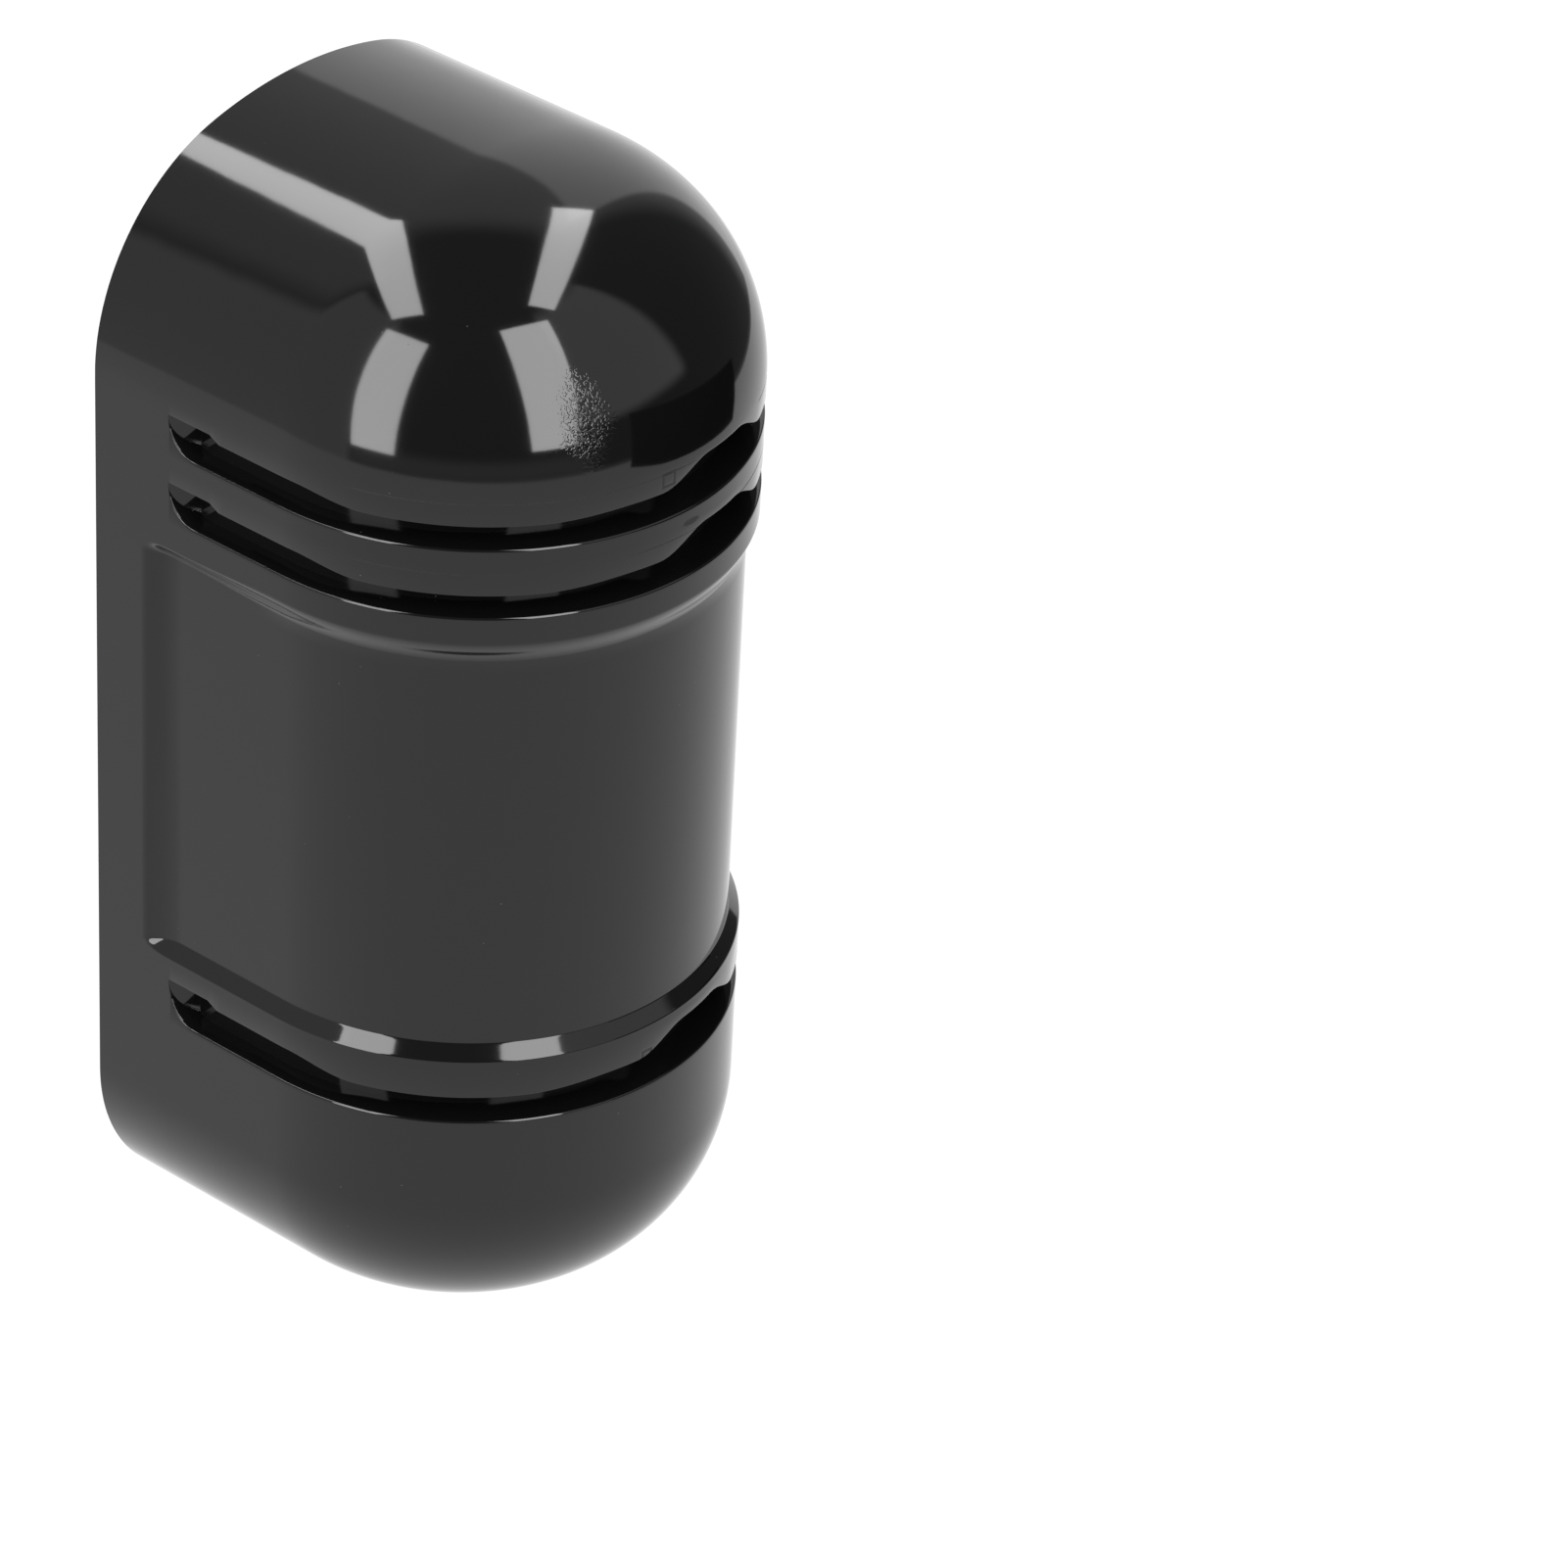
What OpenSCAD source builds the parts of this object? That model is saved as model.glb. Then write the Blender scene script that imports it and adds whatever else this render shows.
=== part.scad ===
// Outdoor infrared beam sensor for a wall: one unit of a transmitter and receiver pair.
// The unit stands against a wall at y = 0 and looks along -Y. Z is up, and the origin is
// midway between the two wall screws, on the wall. Millimetres.

/* [Cover] */
// Width of the cover
body_w = 76; // [70:1:92]
// Height of the cover
body_h = 171; // [165:1:206]
// Depth of the flat sides, from the wall to the axis of the round front
side_d = 34; // [33:1:41]
// Radius of the crown in the front view
crown_r = 62; // [60:1:74]
// Radius of the shoulders beside the crown
shoulder_r = 30; // [28:1:34]
// Radius of the bottom edge
base_r = 28.5; // [27:0.5:31]
// Wall thickness of the cover
wall = 2.2; // [1.8:0.1:2.6]
// Gap between the cover's rim and the wall
rim_gap = 0.8; // [0.5:0.1:1.5]

/* [Grooves and window] */
// Height of each groove
groove_h = 4.2; // [3:0.1:5]
// Depth of the grooves in the sides
groove_side = 2.8; // [2:0.1:3.4]
// Depth of the grooves at the front
groove_front = 5; // [3:0.1:5.5]
// Distance from the wall to where the grooves begin
groove_start = 14.7; // [13.5:0.1:18]
// Drop from the crown to the upper groove's top edge
top_groove_drop = 33.1; // [32:0.1:40]
// Distance between the two upper grooves
groove_pitch = 10.6; // [9.5:0.1:12.7]
// Rise from the base to the lower groove's bottom edge
low_groove_rise = 43.3; // [41:0.1:52]
// Depth of the window's recess
window_depth = 1.6; // [1:0.1:2]
// Distance from the wall to the window's edge
window_start = 11.5; // [11.5:0.1:14]
// Band left between the window and the groove above it
window_top_band = 4.5; // [3:0.1:7]
// Band left between the window and the groove below it
window_low_band = 5.5; // [3:0.1:7]
// Corner radius of the window
window_corner = 3; // [2:0.5:5]

/* [Chassis and wall plate] */
// Play between the chassis and the cover
cover_play = 0.5; // [0.3:0.1:0.8]
// Thickness of the chassis's rim
rim_t = 2; // [1.8:0.1:2.4]
// Thickness of the chassis's back
back_t = 2.5; // [2:0.1:3]
// Thickness of the steel wall plate
plate_t = 1.5; // [1:0.1:1.6]
// Width of the wall plate
plate_w = 44; // [40:1:53]
// Height of the wall plate
plate_h = 132; // [126:1:136]
// Distance between the two wall screws
wall_pitch = 83.5; // [83.5:0.1:90]
// Width of the wall plate's slots
slot_w = 4.4; // [4:0.1:5.2]
// Length of the wall plate's slots
slot_l = 9; // [7.5:0.5:10.5]
// Radius of the hole for the supply cable
cable_r = 3.2; // [2.7:0.1:3.8]

/* [Optics] */
// Diameter of the lenses
lens_d = 30; // [27:0.5:31]
// Distance between the two lens centres
lens_pitch = 34; // [34:0.5:36]
// Rise of each lens's front face
lens_rise = 4.5; // [3.5:0.1:5.4]
// Wall thickness of the optical head
head_wall = 1.8; // [1.5:0.1:2.1]
// Depth of the optical head, from its front to its back cover
head_d = 24; // [22:0.5:26]
// Radius of the tilt pins
tilt_pin_r = 2; // [1.7:0.1:2.4]
// Radius of the turntable
table_r = 24; // [22.5:0.5:26]
// Radius of the turntable's hub
hub_r = 6; // [5:0.1:7]
// Radius of the tilt screw
tilt_screw_r = 1.5; // [1.3:0.1:1.8]

/* [Hidden] */
$fn = 64;

// Radial clearance of a running fit, and the gap between pieces that only lie close
run = 0.05;
near = 0.3;

// Levels of the cover
half_w = body_w / 2;
top_z = body_h / 2;
bottom_z = -top_z;
shoulder_x = half_w - shoulder_r;
crown_z = top_z - crown_r;
shoulder_z = crown_z + sqrt(pow(crown_r - shoulder_r, 2) - pow(shoulder_x, 2));
groove_tops = [
    top_z - top_groove_drop,
    top_z - top_groove_drop - groove_pitch,
    bottom_z + low_groove_rise + groove_h
];
window_top = groove_tops[1] - groove_h - window_top_band;
window_low = groove_tops[2] + window_low_band;
front_y = -(side_d + half_w);

// Layers from the wall forwards
plate_front = -plate_t;
back_gap = near;
back_rear = plate_front - back_gap;
back_front = back_rear - back_t;
chassis_front = -(window_start - wall - near);
board_t = 1.6;
post_h = 1.5;
board_rear = back_front - post_h;
board_front = board_rear - board_t;

// Wall plate and cable entry
screw_z = [-wall_pitch / 2, wall_pitch / 2];
access_r = 5.5;
lock_r = 2;
lock_head_r = 3.6;
entry_x = 14;
lock_x = -12;
grommet_r = cable_r + 1.8;
grommet_flange_r = grommet_r + 1.5;
grommet_flange_t = 1.1;
hook_x = 12;
hook_w = 8;
hook_t = 1;
hook_z = 35;
hook_rise = 4;

// Optical head, which tilts about a level axis through its middle
head_z = (window_top + window_low) / 2;
axis_y = -side_d;
lens_r = lens_d / 2;
lens_edge = 1.5;
lens_sphere = (lens_r * lens_r + lens_rise * lens_rise) / (2 * lens_rise);
lens_zs = [head_z - lens_pitch / 2, head_z + lens_pitch / 2];
lens_seat = 1;
bezel_w = 1.7;
bezel_r = lens_r + bezel_w;
bezel_lip = 0.8;
head_half = bezel_r + 0.6;
head_top = head_z + lens_pitch / 2 + head_half;
head_low = head_z - lens_pitch / 2 - head_half;
face_t = 4.4;
end_wall = 1.2;
inner_reach = lens_pitch / 2 - head_wall / 2;
outer_reach = head_half - end_wall;
head_face = axis_y - head_d * 0.6;
head_rear = head_face + head_d;
seat_y = head_face + 2.6;
backing_t = 2;
tower_h = 14;
tower_half = 9;
tower_wall = 1.5;
sight_r = 3.5;
mirror_t = 1.2;
mirror_half = 6.5;

// Diodes at the focus of each lens
diode_r = 2.5;
diode_l = 6;
diode_board_r = 8;
shield_t = 1;
shield_r = lens_r - lens_seat - near;

// Yoke and turntable
arm_gap = near;
arm_t = 2.5;
arm_in = head_half + arm_gap;
arm_out = arm_in + arm_t;
arm_half = 6;
table_t = 3;
travel_space = 10.5;
table_top = head_low - travel_space;
table_low = table_top - table_t;
shelf_t = 3;
shelf_top = table_low - near;
shelf_low = shelf_top - shelf_t;
shelf_r = 18;
entry_z = shelf_low - 7;
washer_r = 9;
washer_t = 1;
hub_screw_r = 1.5;
hub_screw_l = 9;
ear_w = 9;
ear_h = 11;
ear_t = 2.5;
ear_screw_z = shelf_top + ear_h / 2 + 0.5;
ear_screw_x = access_r + 1 + ear_w / 2;

// Tilt screw, its travelling nut and the head's fork
screw_axis_z = table_top + 3.7;
nut_half = 3;
pin_r = 1.4;
pin_half = 7;
pin_z = head_low - 3.4;
fork_in = 4;
fork_out = 6.6;
fork_half = 3.3;
fork_drop = 6;
fork_play = 0.17;
post_in = 12;
post_t = 2.5;
screw_head_r = 3;
screw_head_t = 2;

// Lock screw at the cover's underside, and the chassis's slotted lug that it clamps
cover_screw_y = -16;
cover_screw_r = 1.5;
cover_head_r = 3;
cover_head_t = 2;
boss_r = 6;
boss_top = bottom_z + wall + 2.3;
lug_low = boss_top + near;
lug_t = 3;
lug_half = 7;
lug_front = cover_screw_y - 6;
nut_t = 2.4;
nut_r = 3.6;

// Boards and what they carry
control_z = [top_z - 31.5, top_z - 9.5];
control_half = 18;
main_z = [head_z - 33, head_z + 33];
main_half = 20;
terminal_z = [bottom_z + 11.8, bottom_z + 24];
terminal_half = 24.5;
block_h = 10.6;
block_d = 9;
block_z = bottom_z + 12.6;
pole_pitch = 6;
poles = 6;
led_x = [-14, -9, -4];
led_z = control_z[0] + 4;
led_r = 1.5;
dip_x = 1;
dip_w = 10.4;
dip_h = 6;
dip_d = 3.5;
dip_z = control_z[0] + 1;
dip_pitch = 2.4;
dip_slot_w = 1.4;
dip_slot_h = 3.6;
dip_travel = 1.6;
trim_x = -11;
trim_z = control_z[0] + 14;
trim_r = 3.4;
trim_d = 3.6;
rotor_r = 2.2;
tamper_x = 11;
tamper_w = 6;
tamper_z = control_z[0] + 9.5;
tamper_h = 10;
tamper_d = 5;
plunger_r = 1.2;
plunger_out = 1.8;
plunger_sink = 2.6;
plunger_z = tamper_z + tamper_h / 2;
pad_y = board_front - tamper_d - plunger_out - near;

// ---- Shared shapes ----

// The cover's outline in the front view, drawn in by t all round
module outline(t) {
    reach = 2 * crown_r;
    slope = (shoulder_z - crown_z) / shoulder_x;
    intersection() {
        translate([0, crown_z]) circle(crown_r - t, $fn = 180);
        polygon([[0, crown_z], [reach / slope, crown_z + reach], [-reach / slope, crown_z + reach]]);
    }
    for (side = [-1, 1]) {
        translate([side * shoulder_x, shoulder_z]) circle(shoulder_r - t, $fn = 120);
        translate([side * (half_w - base_r), bottom_z + base_r]) circle(base_r - t, $fn = 120);
    }
    translate([-(half_w - t), bottom_z + base_r])
        square([2 * (half_w - t), shoulder_z - bottom_z - base_r]);
    translate([-(half_w - base_r), bottom_z + t])
        square([2 * (half_w - base_r), base_r]);
}

// A slab of the outline, from y = near_y back to y = far_y
module outline_slab(t, near_y, far_y) {
    translate([0, near_y, 0]) rotate([90, 0, 0]) linear_extrude(near_y - far_y) outline(t);
}

// The cover's solid form drawn in by t: flat sides and a round front
module cover_form(t, rear_y) {
    outline_slab(t, rear_y, -side_d);
    translate([0, -side_d, 0]) rotate([0, 0, 180]) rotate_extrude(angle = 180)
        intersection() {
            outline(t);
            translate([0, bottom_z]) square([half_w, body_h]);
        }
}

// A prism with the cover's plan, flat sides and a round front, between two levels
module plan_prism(side_in, front_in, low, high) {
    r = half_w - side_in;
    centre = front_y + front_in + r;
    translate([0, 0, low]) linear_extrude(high - low) {
        translate([0, centre]) circle(r, $fn = 180);
        translate([-r, centre]) square([2 * r, -centre + 2]);
    }
}

// A bar from y = near_y forwards to y = far_y, with its cross-section drawn in X and Z
module bar(near_y, far_y) {
    translate([0, near_y, 0]) rotate([90, 0, 0]) linear_extrude(near_y - far_y) children();
}

// A round bar along Y at x, z
module rod_y(r, x, z, near_y, far_y) {
    translate([x, near_y, z]) rotate([90, 0, 0]) cylinder(h = near_y - far_y, r = r);
}

// A box given by its two corners
module block(low, high) {
    translate(low) cube(high - low);
}

// A pan-head screw along -Y: its head stands in front of seat_front
module screw_y(r, head_r, head_t, x, z, tip_y, seat_front) {
    difference() {
        union() {
            rod_y(r, x, z, tip_y, seat_front);
            rod_y(head_r, x, z, seat_front, seat_front - head_t);
        }
        for (turn = [0, 90])
            translate([x, seat_front - head_t, z]) rotate([0, turn, 0])
                cube([1.4 * head_r, head_t, 0.25 * head_r], center = true);
    }
}

// ---- Cover ----

// One groove, with the pointed top corner and rounded lower corner at its ends
module groove_cut(top) {
    difference() {
        translate([-half_w - 1, 0, 0]) rotate([90, 0, 90]) linear_extrude(body_w + 2) {
            translate([front_y - 1, top - groove_h])
                square([-groove_start - groove_h - front_y + 1, groove_h]);
            intersection() {
                translate([-groove_start - groove_h, top]) circle(groove_h);
                translate([-groove_start - groove_h, top - groove_h]) square(groove_h);
            }
        }
        plan_prism(groove_side, groove_front, top - groove_h - 1, top + 1);
    }
}

// The window's shallow recess
module window_cut() {
    c = window_corner;
    difference() {
        translate([-half_w - 1, 0, 0]) rotate([90, 0, 90]) linear_extrude(body_w + 2) {
            translate([front_y - 1, window_low])
                square([-window_start - c - front_y + 1, window_top - window_low]);
            translate([-window_start - c, window_low + c])
                square([c, window_top - window_low - 2 * c]);
            for (z = [window_low + c, window_top - c])
                translate([-window_start - c, z]) circle(c);
        }
        plan_prism(window_depth, window_depth, window_low - 1, window_top + 1);
    }
}

// The wall that backs a groove or the window from inside
module backing(side_in, front_in, start, low, high) {
    difference() {
        block([-half_w, front_y, low], [half_w, -start, high]);
        plan_prism(side_in, front_in, low - 1, high + 1);
    }
}

module cover_ribs() {
    // hook at the top, which reaches under the chassis's rim
    hook_top = top_z - wall - cover_play - rim_t - cover_play;
    block([-5, chassis_front - 3, hook_top - 1.8], [5, chassis_front - near - 0.2, top_z - wall / 2]);
    block([-5, chassis_front - 1, hook_top - 1.8], [5, chassis_front + 3, hook_top]);
    // pad in front of the tamper switch's plunger
    block([tamper_x, pad_y - 3, plunger_z - 3], [tamper_x + tamper_w, pad_y, top_z - wall / 2]);
}

module cover() {
    color([0.05, 0.05, 0.055]) difference() {
        union() {
            difference() {
                cover_form(0, -rim_gap);
                cover_form(wall, 1);
            }
            intersection() {
                cover_form(wall / 2, -rim_gap);
                union() {
                    for (top = groove_tops)
                        backing(groove_side + wall, groove_front + wall, groove_start - wall,
                            top - groove_h - wall, top + wall);
                    backing(window_depth + wall, window_depth + wall, window_start - wall,
                        window_low - wall, window_top + wall);
                    cover_ribs();
                    translate([0, cover_screw_y, bottom_z]) cylinder(h = boss_top - bottom_z, r = boss_r);
                }
            }
        }
        for (top = groove_tops) groove_cut(top);
        window_cut();
        translate([0, cover_screw_y, bottom_z - 1])
            cylinder(h = boss_top - bottom_z + 2, r = cover_screw_r + 0.2);
        translate([0, cover_screw_y, bottom_z - 1]) cylinder(h = cover_head_t + 1.3, r = cover_head_r + 0.4);
    }
}

module cover_screw() {
    head_low = bottom_z + 0.3;
    color("silver") difference() {
        union() {
            translate([0, cover_screw_y, head_low]) cylinder(h = cover_head_t, r = cover_head_r);
            translate([0, cover_screw_y, head_low])
                cylinder(h = lug_low + lug_t + nut_t + 1 - head_low, r = cover_screw_r);
        }
        for (turn = [0, 90])
            translate([0, cover_screw_y, head_low]) rotate([0, 0, turn])
                cube([1.4 * cover_head_r, 0.7, 2], center = true);
    }
}

module cover_clamp_nut() {
    color("goldenrod") translate([0, cover_screw_y, lug_low + lug_t + 0.2]) difference() {
        cylinder(h = nut_t, r = nut_r, $fn = 6);
        translate([0, 0, -1]) cylinder(h = nut_t + 2, r = cover_screw_r + run);
    }
}

module cover_seal() {
    color([0.1, 0.1, 0.1]) difference() {
        outline_slab(wall + near, -2.5, -4.5);
        outline_slab(wall + cover_play + rim_t / 2, -1, -6);
    }
}

// ---- Wall plate and chassis ----

// A stadium standing on end, centred on the origin
module stadium(w, h) {
    square([w, h - w], center = true);
    for (z = [-1, 1]) translate([0, z * (h - w) / 2]) circle(w / 2);
}

module wall_plate() {
    color([0.72, 0.73, 0.74]) {
        bar(0, plate_front) difference() {
            stadium(plate_w, plate_h);
            for (z = screw_z) translate([0, z]) stadium(slot_w, slot_l);
            translate([entry_x, entry_z]) circle(grommet_flange_r + 0.5);
            translate([lock_x, entry_z]) circle(lock_r + run);
        }
        // hooks that the chassis hangs on
        for (side = [-1, 1]) {
            x0 = side * hook_x - hook_w / 2;
            block([x0, back_front - hook_t - 0.1, hook_z], [x0 + hook_w, plate_front + 0.5, hook_z + hook_t]);
            block([x0, back_front - hook_t - 0.1, hook_z],
                [x0 + hook_w, back_front - 0.1, hook_z + hook_rise]);
        }
    }
}

module chassis() {
    out = wall + cover_play;
    color([0.09, 0.09, 0.1]) difference() {
        union() {
            difference() {
                outline_slab(out, 0, chassis_front);
                outline_slab(out + rim_t, back_front, chassis_front - 1);
                outline_slab(out + rim_t, 1, back_rear);
            }
            block([-lug_half, lug_front, lug_low], [lug_half, back_front + 0.5, lug_low + lug_t]);
            for (z = [control_z[0] + 3, control_z[1] - 3])
                rod_y(2.4, control_screw_x(z), z, back_front + 0.5, board_rear);
            for (z = [main_z[0] + 3, main_z[1] - 3]) rod_y(2.4, main_half - 3, z, back_front + 0.5, board_rear);
            for (x = [-1, 1]) rod_y(2.4, x * (terminal_half - 3), terminal_z[1] - 3, back_front + 0.5, board_rear);
        }
        // groove in the rim for the seal
        difference() {
            outline_slab(out - 1, -2.5, -4.5);
            outline_slab(out + rim_t / 2, 0, -7);
        }
        for (z = screw_z) rod_y(access_r, 0, z, 1, back_front - 1);
        rod_y(grommet_r + run, entry_x, entry_z, 1, back_front - 1);
        rod_y(lock_r + run, lock_x, entry_z, 1, back_front - 1);
        for (side = [-1, 1])
            block([side * hook_x - hook_w / 2 - 0.3, back_front - 1, hook_z - hook_rise],
                [side * hook_x + hook_w / 2 + 0.3, 1, hook_z + hook_t + 0.2]);
        block([-cover_screw_r - 0.5, lug_front - 1, lug_low - 1],
            [cover_screw_r + 0.5, cover_screw_y + 2.2, lug_low + lug_t + 1]);
    }
}

module unit_lock_screw() {
    color("silver") screw_y(lock_r, lock_head_r, 2.2, lock_x, entry_z, -0.2, back_front);
}

module cable_grommet() {
    deep = back_rear + grommet_flange_t;
    length = deep - back_front + grommet_flange_t;
    color([0.07, 0.07, 0.07]) translate([entry_x, deep, entry_z]) rotate([90, 0, 0]) rotate_extrude()
        difference() {
            translate([cable_r, 0]) square([grommet_flange_r - cable_r, length]);
            translate([grommet_r, grommet_flange_t])
                square([grommet_flange_r, length - 2 * grommet_flange_t]);
        }
}

// ---- Swivel: shelf on the chassis, and the turntable with its yoke ----

module swivel_shelf() {
    color([0.12, 0.12, 0.13]) difference() {
        union() {
            translate([0, axis_y, shelf_low]) cylinder(h = shelf_t, r = shelf_r);
            block([-shelf_r, axis_y, shelf_low], [shelf_r, back_front, shelf_top]);
            for (side = [-1, 1])
                block([side * ear_screw_x - ear_w / 2, back_front - ear_t, shelf_low],
                    [side * ear_screw_x + ear_w / 2, back_front, shelf_top + ear_h]);
        }
        translate([0, axis_y, shelf_low - 1]) cylinder(h = shelf_t + 2, r = hub_r + run);
        for (side = [-1, 1]) rod_y(1.3 + run, side * ear_screw_x, ear_screw_z, 0, back_front - ear_t - 1);
    }
}

module shelf_screws() {
    color("silver") for (side = [-1, 1])
        screw_y(1.3, 2.6, 1.6, side * ear_screw_x, ear_screw_z, back_front - 0.1, back_front - ear_t);
}

module turntable_yoke() {
    color([0.1, 0.1, 0.11]) translate([0, axis_y, 0]) difference() {
        union() {
            translate([0, 0, table_low]) cylinder(h = table_t, r = table_r);
            translate([0, 0, shelf_low - 0.2]) cylinder(h = table_low - shelf_low + 0.7, r = hub_r);
            for (side = [-1, 1]) {
                x0 = side > 0 ? arm_in : -arm_out;
                block([x0, -arm_half, table_top - 0.5], [x0 + arm_t, arm_half, head_z]);
                translate([x0, 0, head_z]) rotate([0, 90, 0]) cylinder(h = arm_t, r = arm_half);
            }
            for (y = [-post_in - post_t, post_in])
                block([-2.6, y, table_top - 0.5], [2.6, y + post_t, screw_axis_z + 2.8]);
        }
        translate([0, 0, shelf_low - 1]) cylinder(h = hub_screw_l + 1, r = hub_screw_r + run);
        translate([-arm_out - 1, 0, head_z]) rotate([0, 90, 0])
            cylinder(h = 2 * arm_out + 2, r = tilt_pin_r + run);
        rod_y(tilt_screw_r + run, 0, screw_axis_z, table_r, -table_r);
        // finger notches round the edge of the turntable
        for (turn = [0 : 15 : 345])
            rotate([0, 0, turn]) translate([table_r + 0.6, 0, table_low - 1]) cylinder(h = table_t + 2, r = 1.4);
    }
}

module hub_washer() {
    color("silver") translate([0, axis_y, shelf_low - 0.2 - washer_t]) difference() {
        cylinder(h = washer_t, r = washer_r);
        translate([0, 0, -1]) cylinder(h = washer_t + 2, r = hub_screw_r + run);
    }
}

module hub_screw() {
    seat = shelf_low - 0.2 - washer_t;
    color("silver") translate([0, axis_y, 0]) difference() {
        union() {
            translate([0, 0, seat - 2]) cylinder(h = 2, r = 3);
            translate([0, 0, seat - 1]) cylinder(h = hub_screw_l, r = hub_screw_r);
        }
        for (turn = [0, 90]) translate([0, 0, seat - 2]) rotate([0, 0, turn]) cube([4, 0.7, 2], center = true);
    }
}

// ---- Tilt: pins, screw and travelling nut ----

module tilt_pins() {
    color("silver") for (side = [-1, 1]) translate([0, axis_y, head_z]) rotate([0, side * 90, 0]) {
        translate([0, 0, head_half - head_wall]) cylinder(h = arm_out - head_half + head_wall, r = tilt_pin_r);
        translate([0, 0, arm_out]) cylinder(h = 1.2, r = tilt_pin_r + 1.2);
    }
}

module tilt_screw() {
    front = axis_y - post_in - post_t - near;
    color("silver") difference() {
        union() {
            rod_y(tilt_screw_r, 0, screw_axis_z, axis_y + post_in + post_t + 2, front);
            rod_y(screw_head_r, 0, screw_axis_z, front, front - screw_head_t);
        }
        for (turn = [0, 90])
            translate([0, front - screw_head_t, screw_axis_z]) rotate([0, turn, 0]) cube([4.2, 2, 0.7], center = true);
    }
}

module tilt_screw_clip() {
    rear = axis_y + post_in + post_t;
    color("dimgray") difference() {
        rod_y(2.6, 0, screw_axis_z, rear + 1, rear + 0.2);
        rod_y(tilt_screw_r + run, 0, screw_axis_z, rear + 2, rear - 1);
    }
}

module tilt_nut() {
    color("goldenrod") difference() {
        union() {
            block([-nut_half, axis_y - nut_half, table_top + 0.5], [nut_half, axis_y + nut_half, screw_axis_z + 2.6]);
            block([-nut_half, axis_y - pin_r, screw_axis_z + 2], [nut_half, axis_y + pin_r, pin_z]);
            translate([-pin_half, axis_y, pin_z]) rotate([0, 90, 0]) cylinder(h = 2 * pin_half, r = pin_r);
        }
        rod_y(tilt_screw_r + run, 0, screw_axis_z, axis_y + nut_half + 1, axis_y - nut_half - 1);
    }
}

// ---- Optical head ----

module head_housing() {
    color([0.07, 0.07, 0.08]) difference() {
        union() {
            block([-head_half, head_face, head_low], [head_half, head_rear, head_top]);
            block([-tower_half, head_face + 1, head_top - 0.5],
                [tower_half, head_rear - 1, head_top + tower_h]);
            for (side = [-1, 1]) {
                x0 = side > 0 ? fork_in : -fork_out;
                block([x0, axis_y - fork_half, head_low - fork_drop],
                    [x0 + fork_out - fork_in, axis_y + fork_half, head_low + 0.5]);
            }
        }
        // two lens chambers, open at the back
        for (z = lens_zs)
            block([-head_half + head_wall, head_face + face_t, z - (z < head_z ? outer_reach : inner_reach)],
                [head_half - head_wall, head_rear + 1, z + (z < head_z ? inner_reach : outer_reach)]);
        for (z = lens_zs) {
            rod_y(lens_r - lens_seat, 0, z, head_face + face_t + 1, head_face - 1);
            rod_y(lens_r + run, 0, z, seat_y, head_face - 1);
            rod_y(bezel_r + run, 0, z, seat_y - lens_edge - 0.1, head_face - 1);
        }
        // bores for the tilt pins
        translate([-head_half - 1, axis_y, head_z]) rotate([0, 90, 0])
            cylinder(h = 2 * head_half + 2, r = tilt_pin_r + run);
        // slots of the fork
        block([-fork_out - 1, axis_y - pin_r - fork_play, head_low - fork_drop - 1],
            [fork_out + 1, axis_y + pin_r + fork_play, pin_z + pin_r + 0.5]);
        // sighting chamber, open at the top, with a window to the front and one to each side
        block([-tower_half + tower_wall, head_face + 1 + tower_wall, head_top + tower_wall],
            [tower_half - tower_wall, head_rear - 1 - tower_wall, head_top + tower_h + 1]);
        rod_y(sight_r, 0, head_top + tower_h / 2, head_rear + 1, head_face);
    }
}

module head_back_cover() {
    color([0.09, 0.09, 0.1]) difference() {
        union() {
            block([-head_half, head_rear + 0.1, head_low], [head_half, head_rear + 0.1 + backing_t, head_top]);
            for (z = lens_zs) rod_y(2, 0, z + diode_board_r - 3, head_rear + 0.5, head_rear - 3);
        }
        for (z = [head_low + 3, head_top - 3], x = [-1, 1])
            rod_y(1 + run, x * (head_half - 3), z, head_rear + backing_t + 1, head_rear - 1);
    }
}

module head_screws() {
    rear = head_rear + 0.1 + backing_t;
    color("silver") for (z = [head_low + 3, head_top - 3], x = [-1, 1]) {
        rod_y(1, x * (head_half - 3), z, rear, head_rear + 0.2);
        rod_y(2, x * (head_half - 3), z, rear + 1.2, rear);
    }
}

// A lens with a flat back and a domed front
module lens(z) {
    color([0.2, 0.22, 0.26, 0.7]) translate([0, seat_y, z]) rotate([90, 0, 0]) {
        cylinder(h = lens_edge, r = lens_r);
        intersection() {
            translate([0, 0, lens_edge + lens_rise - lens_sphere]) sphere(lens_sphere, $fn = 96);
            translate([0, 0, lens_edge - 0.2]) cylinder(h = lens_rise + 1, r = lens_r);
        }
    }
}

module bezel(z) {
    rear = seat_y - lens_edge - 0.1;
    color([0.15, 0.15, 0.16]) difference() {
        rod_y(bezel_r, 0, z, rear, head_face - 0.6);
        rod_y(lens_r - bezel_lip, 0, z, rear + 1, head_face - 2);
        // relief over the lens's dome
        translate([0, seat_y - lens_edge - lens_rise + lens_sphere, z]) sphere(lens_sphere + 0.1, $fn = 96);
    }
}

// A cone from each lens to its diode
module light_shields() {
    deep = head_rear - 4.5;
    first = seat_y + near;
    color([0.04, 0.04, 0.04]) for (z = lens_zs) translate([0, deep, z]) rotate([90, 0, 0]) difference() {
        cylinder(h = deep - first, r1 = diode_r + 0.4 + shield_t, r2 = shield_r);
        translate([0, 0, -0.01])
            cylinder(h = deep - first + 0.02, r1 = diode_r + 0.4, r2 = shield_r - shield_t);
    }
}

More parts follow.
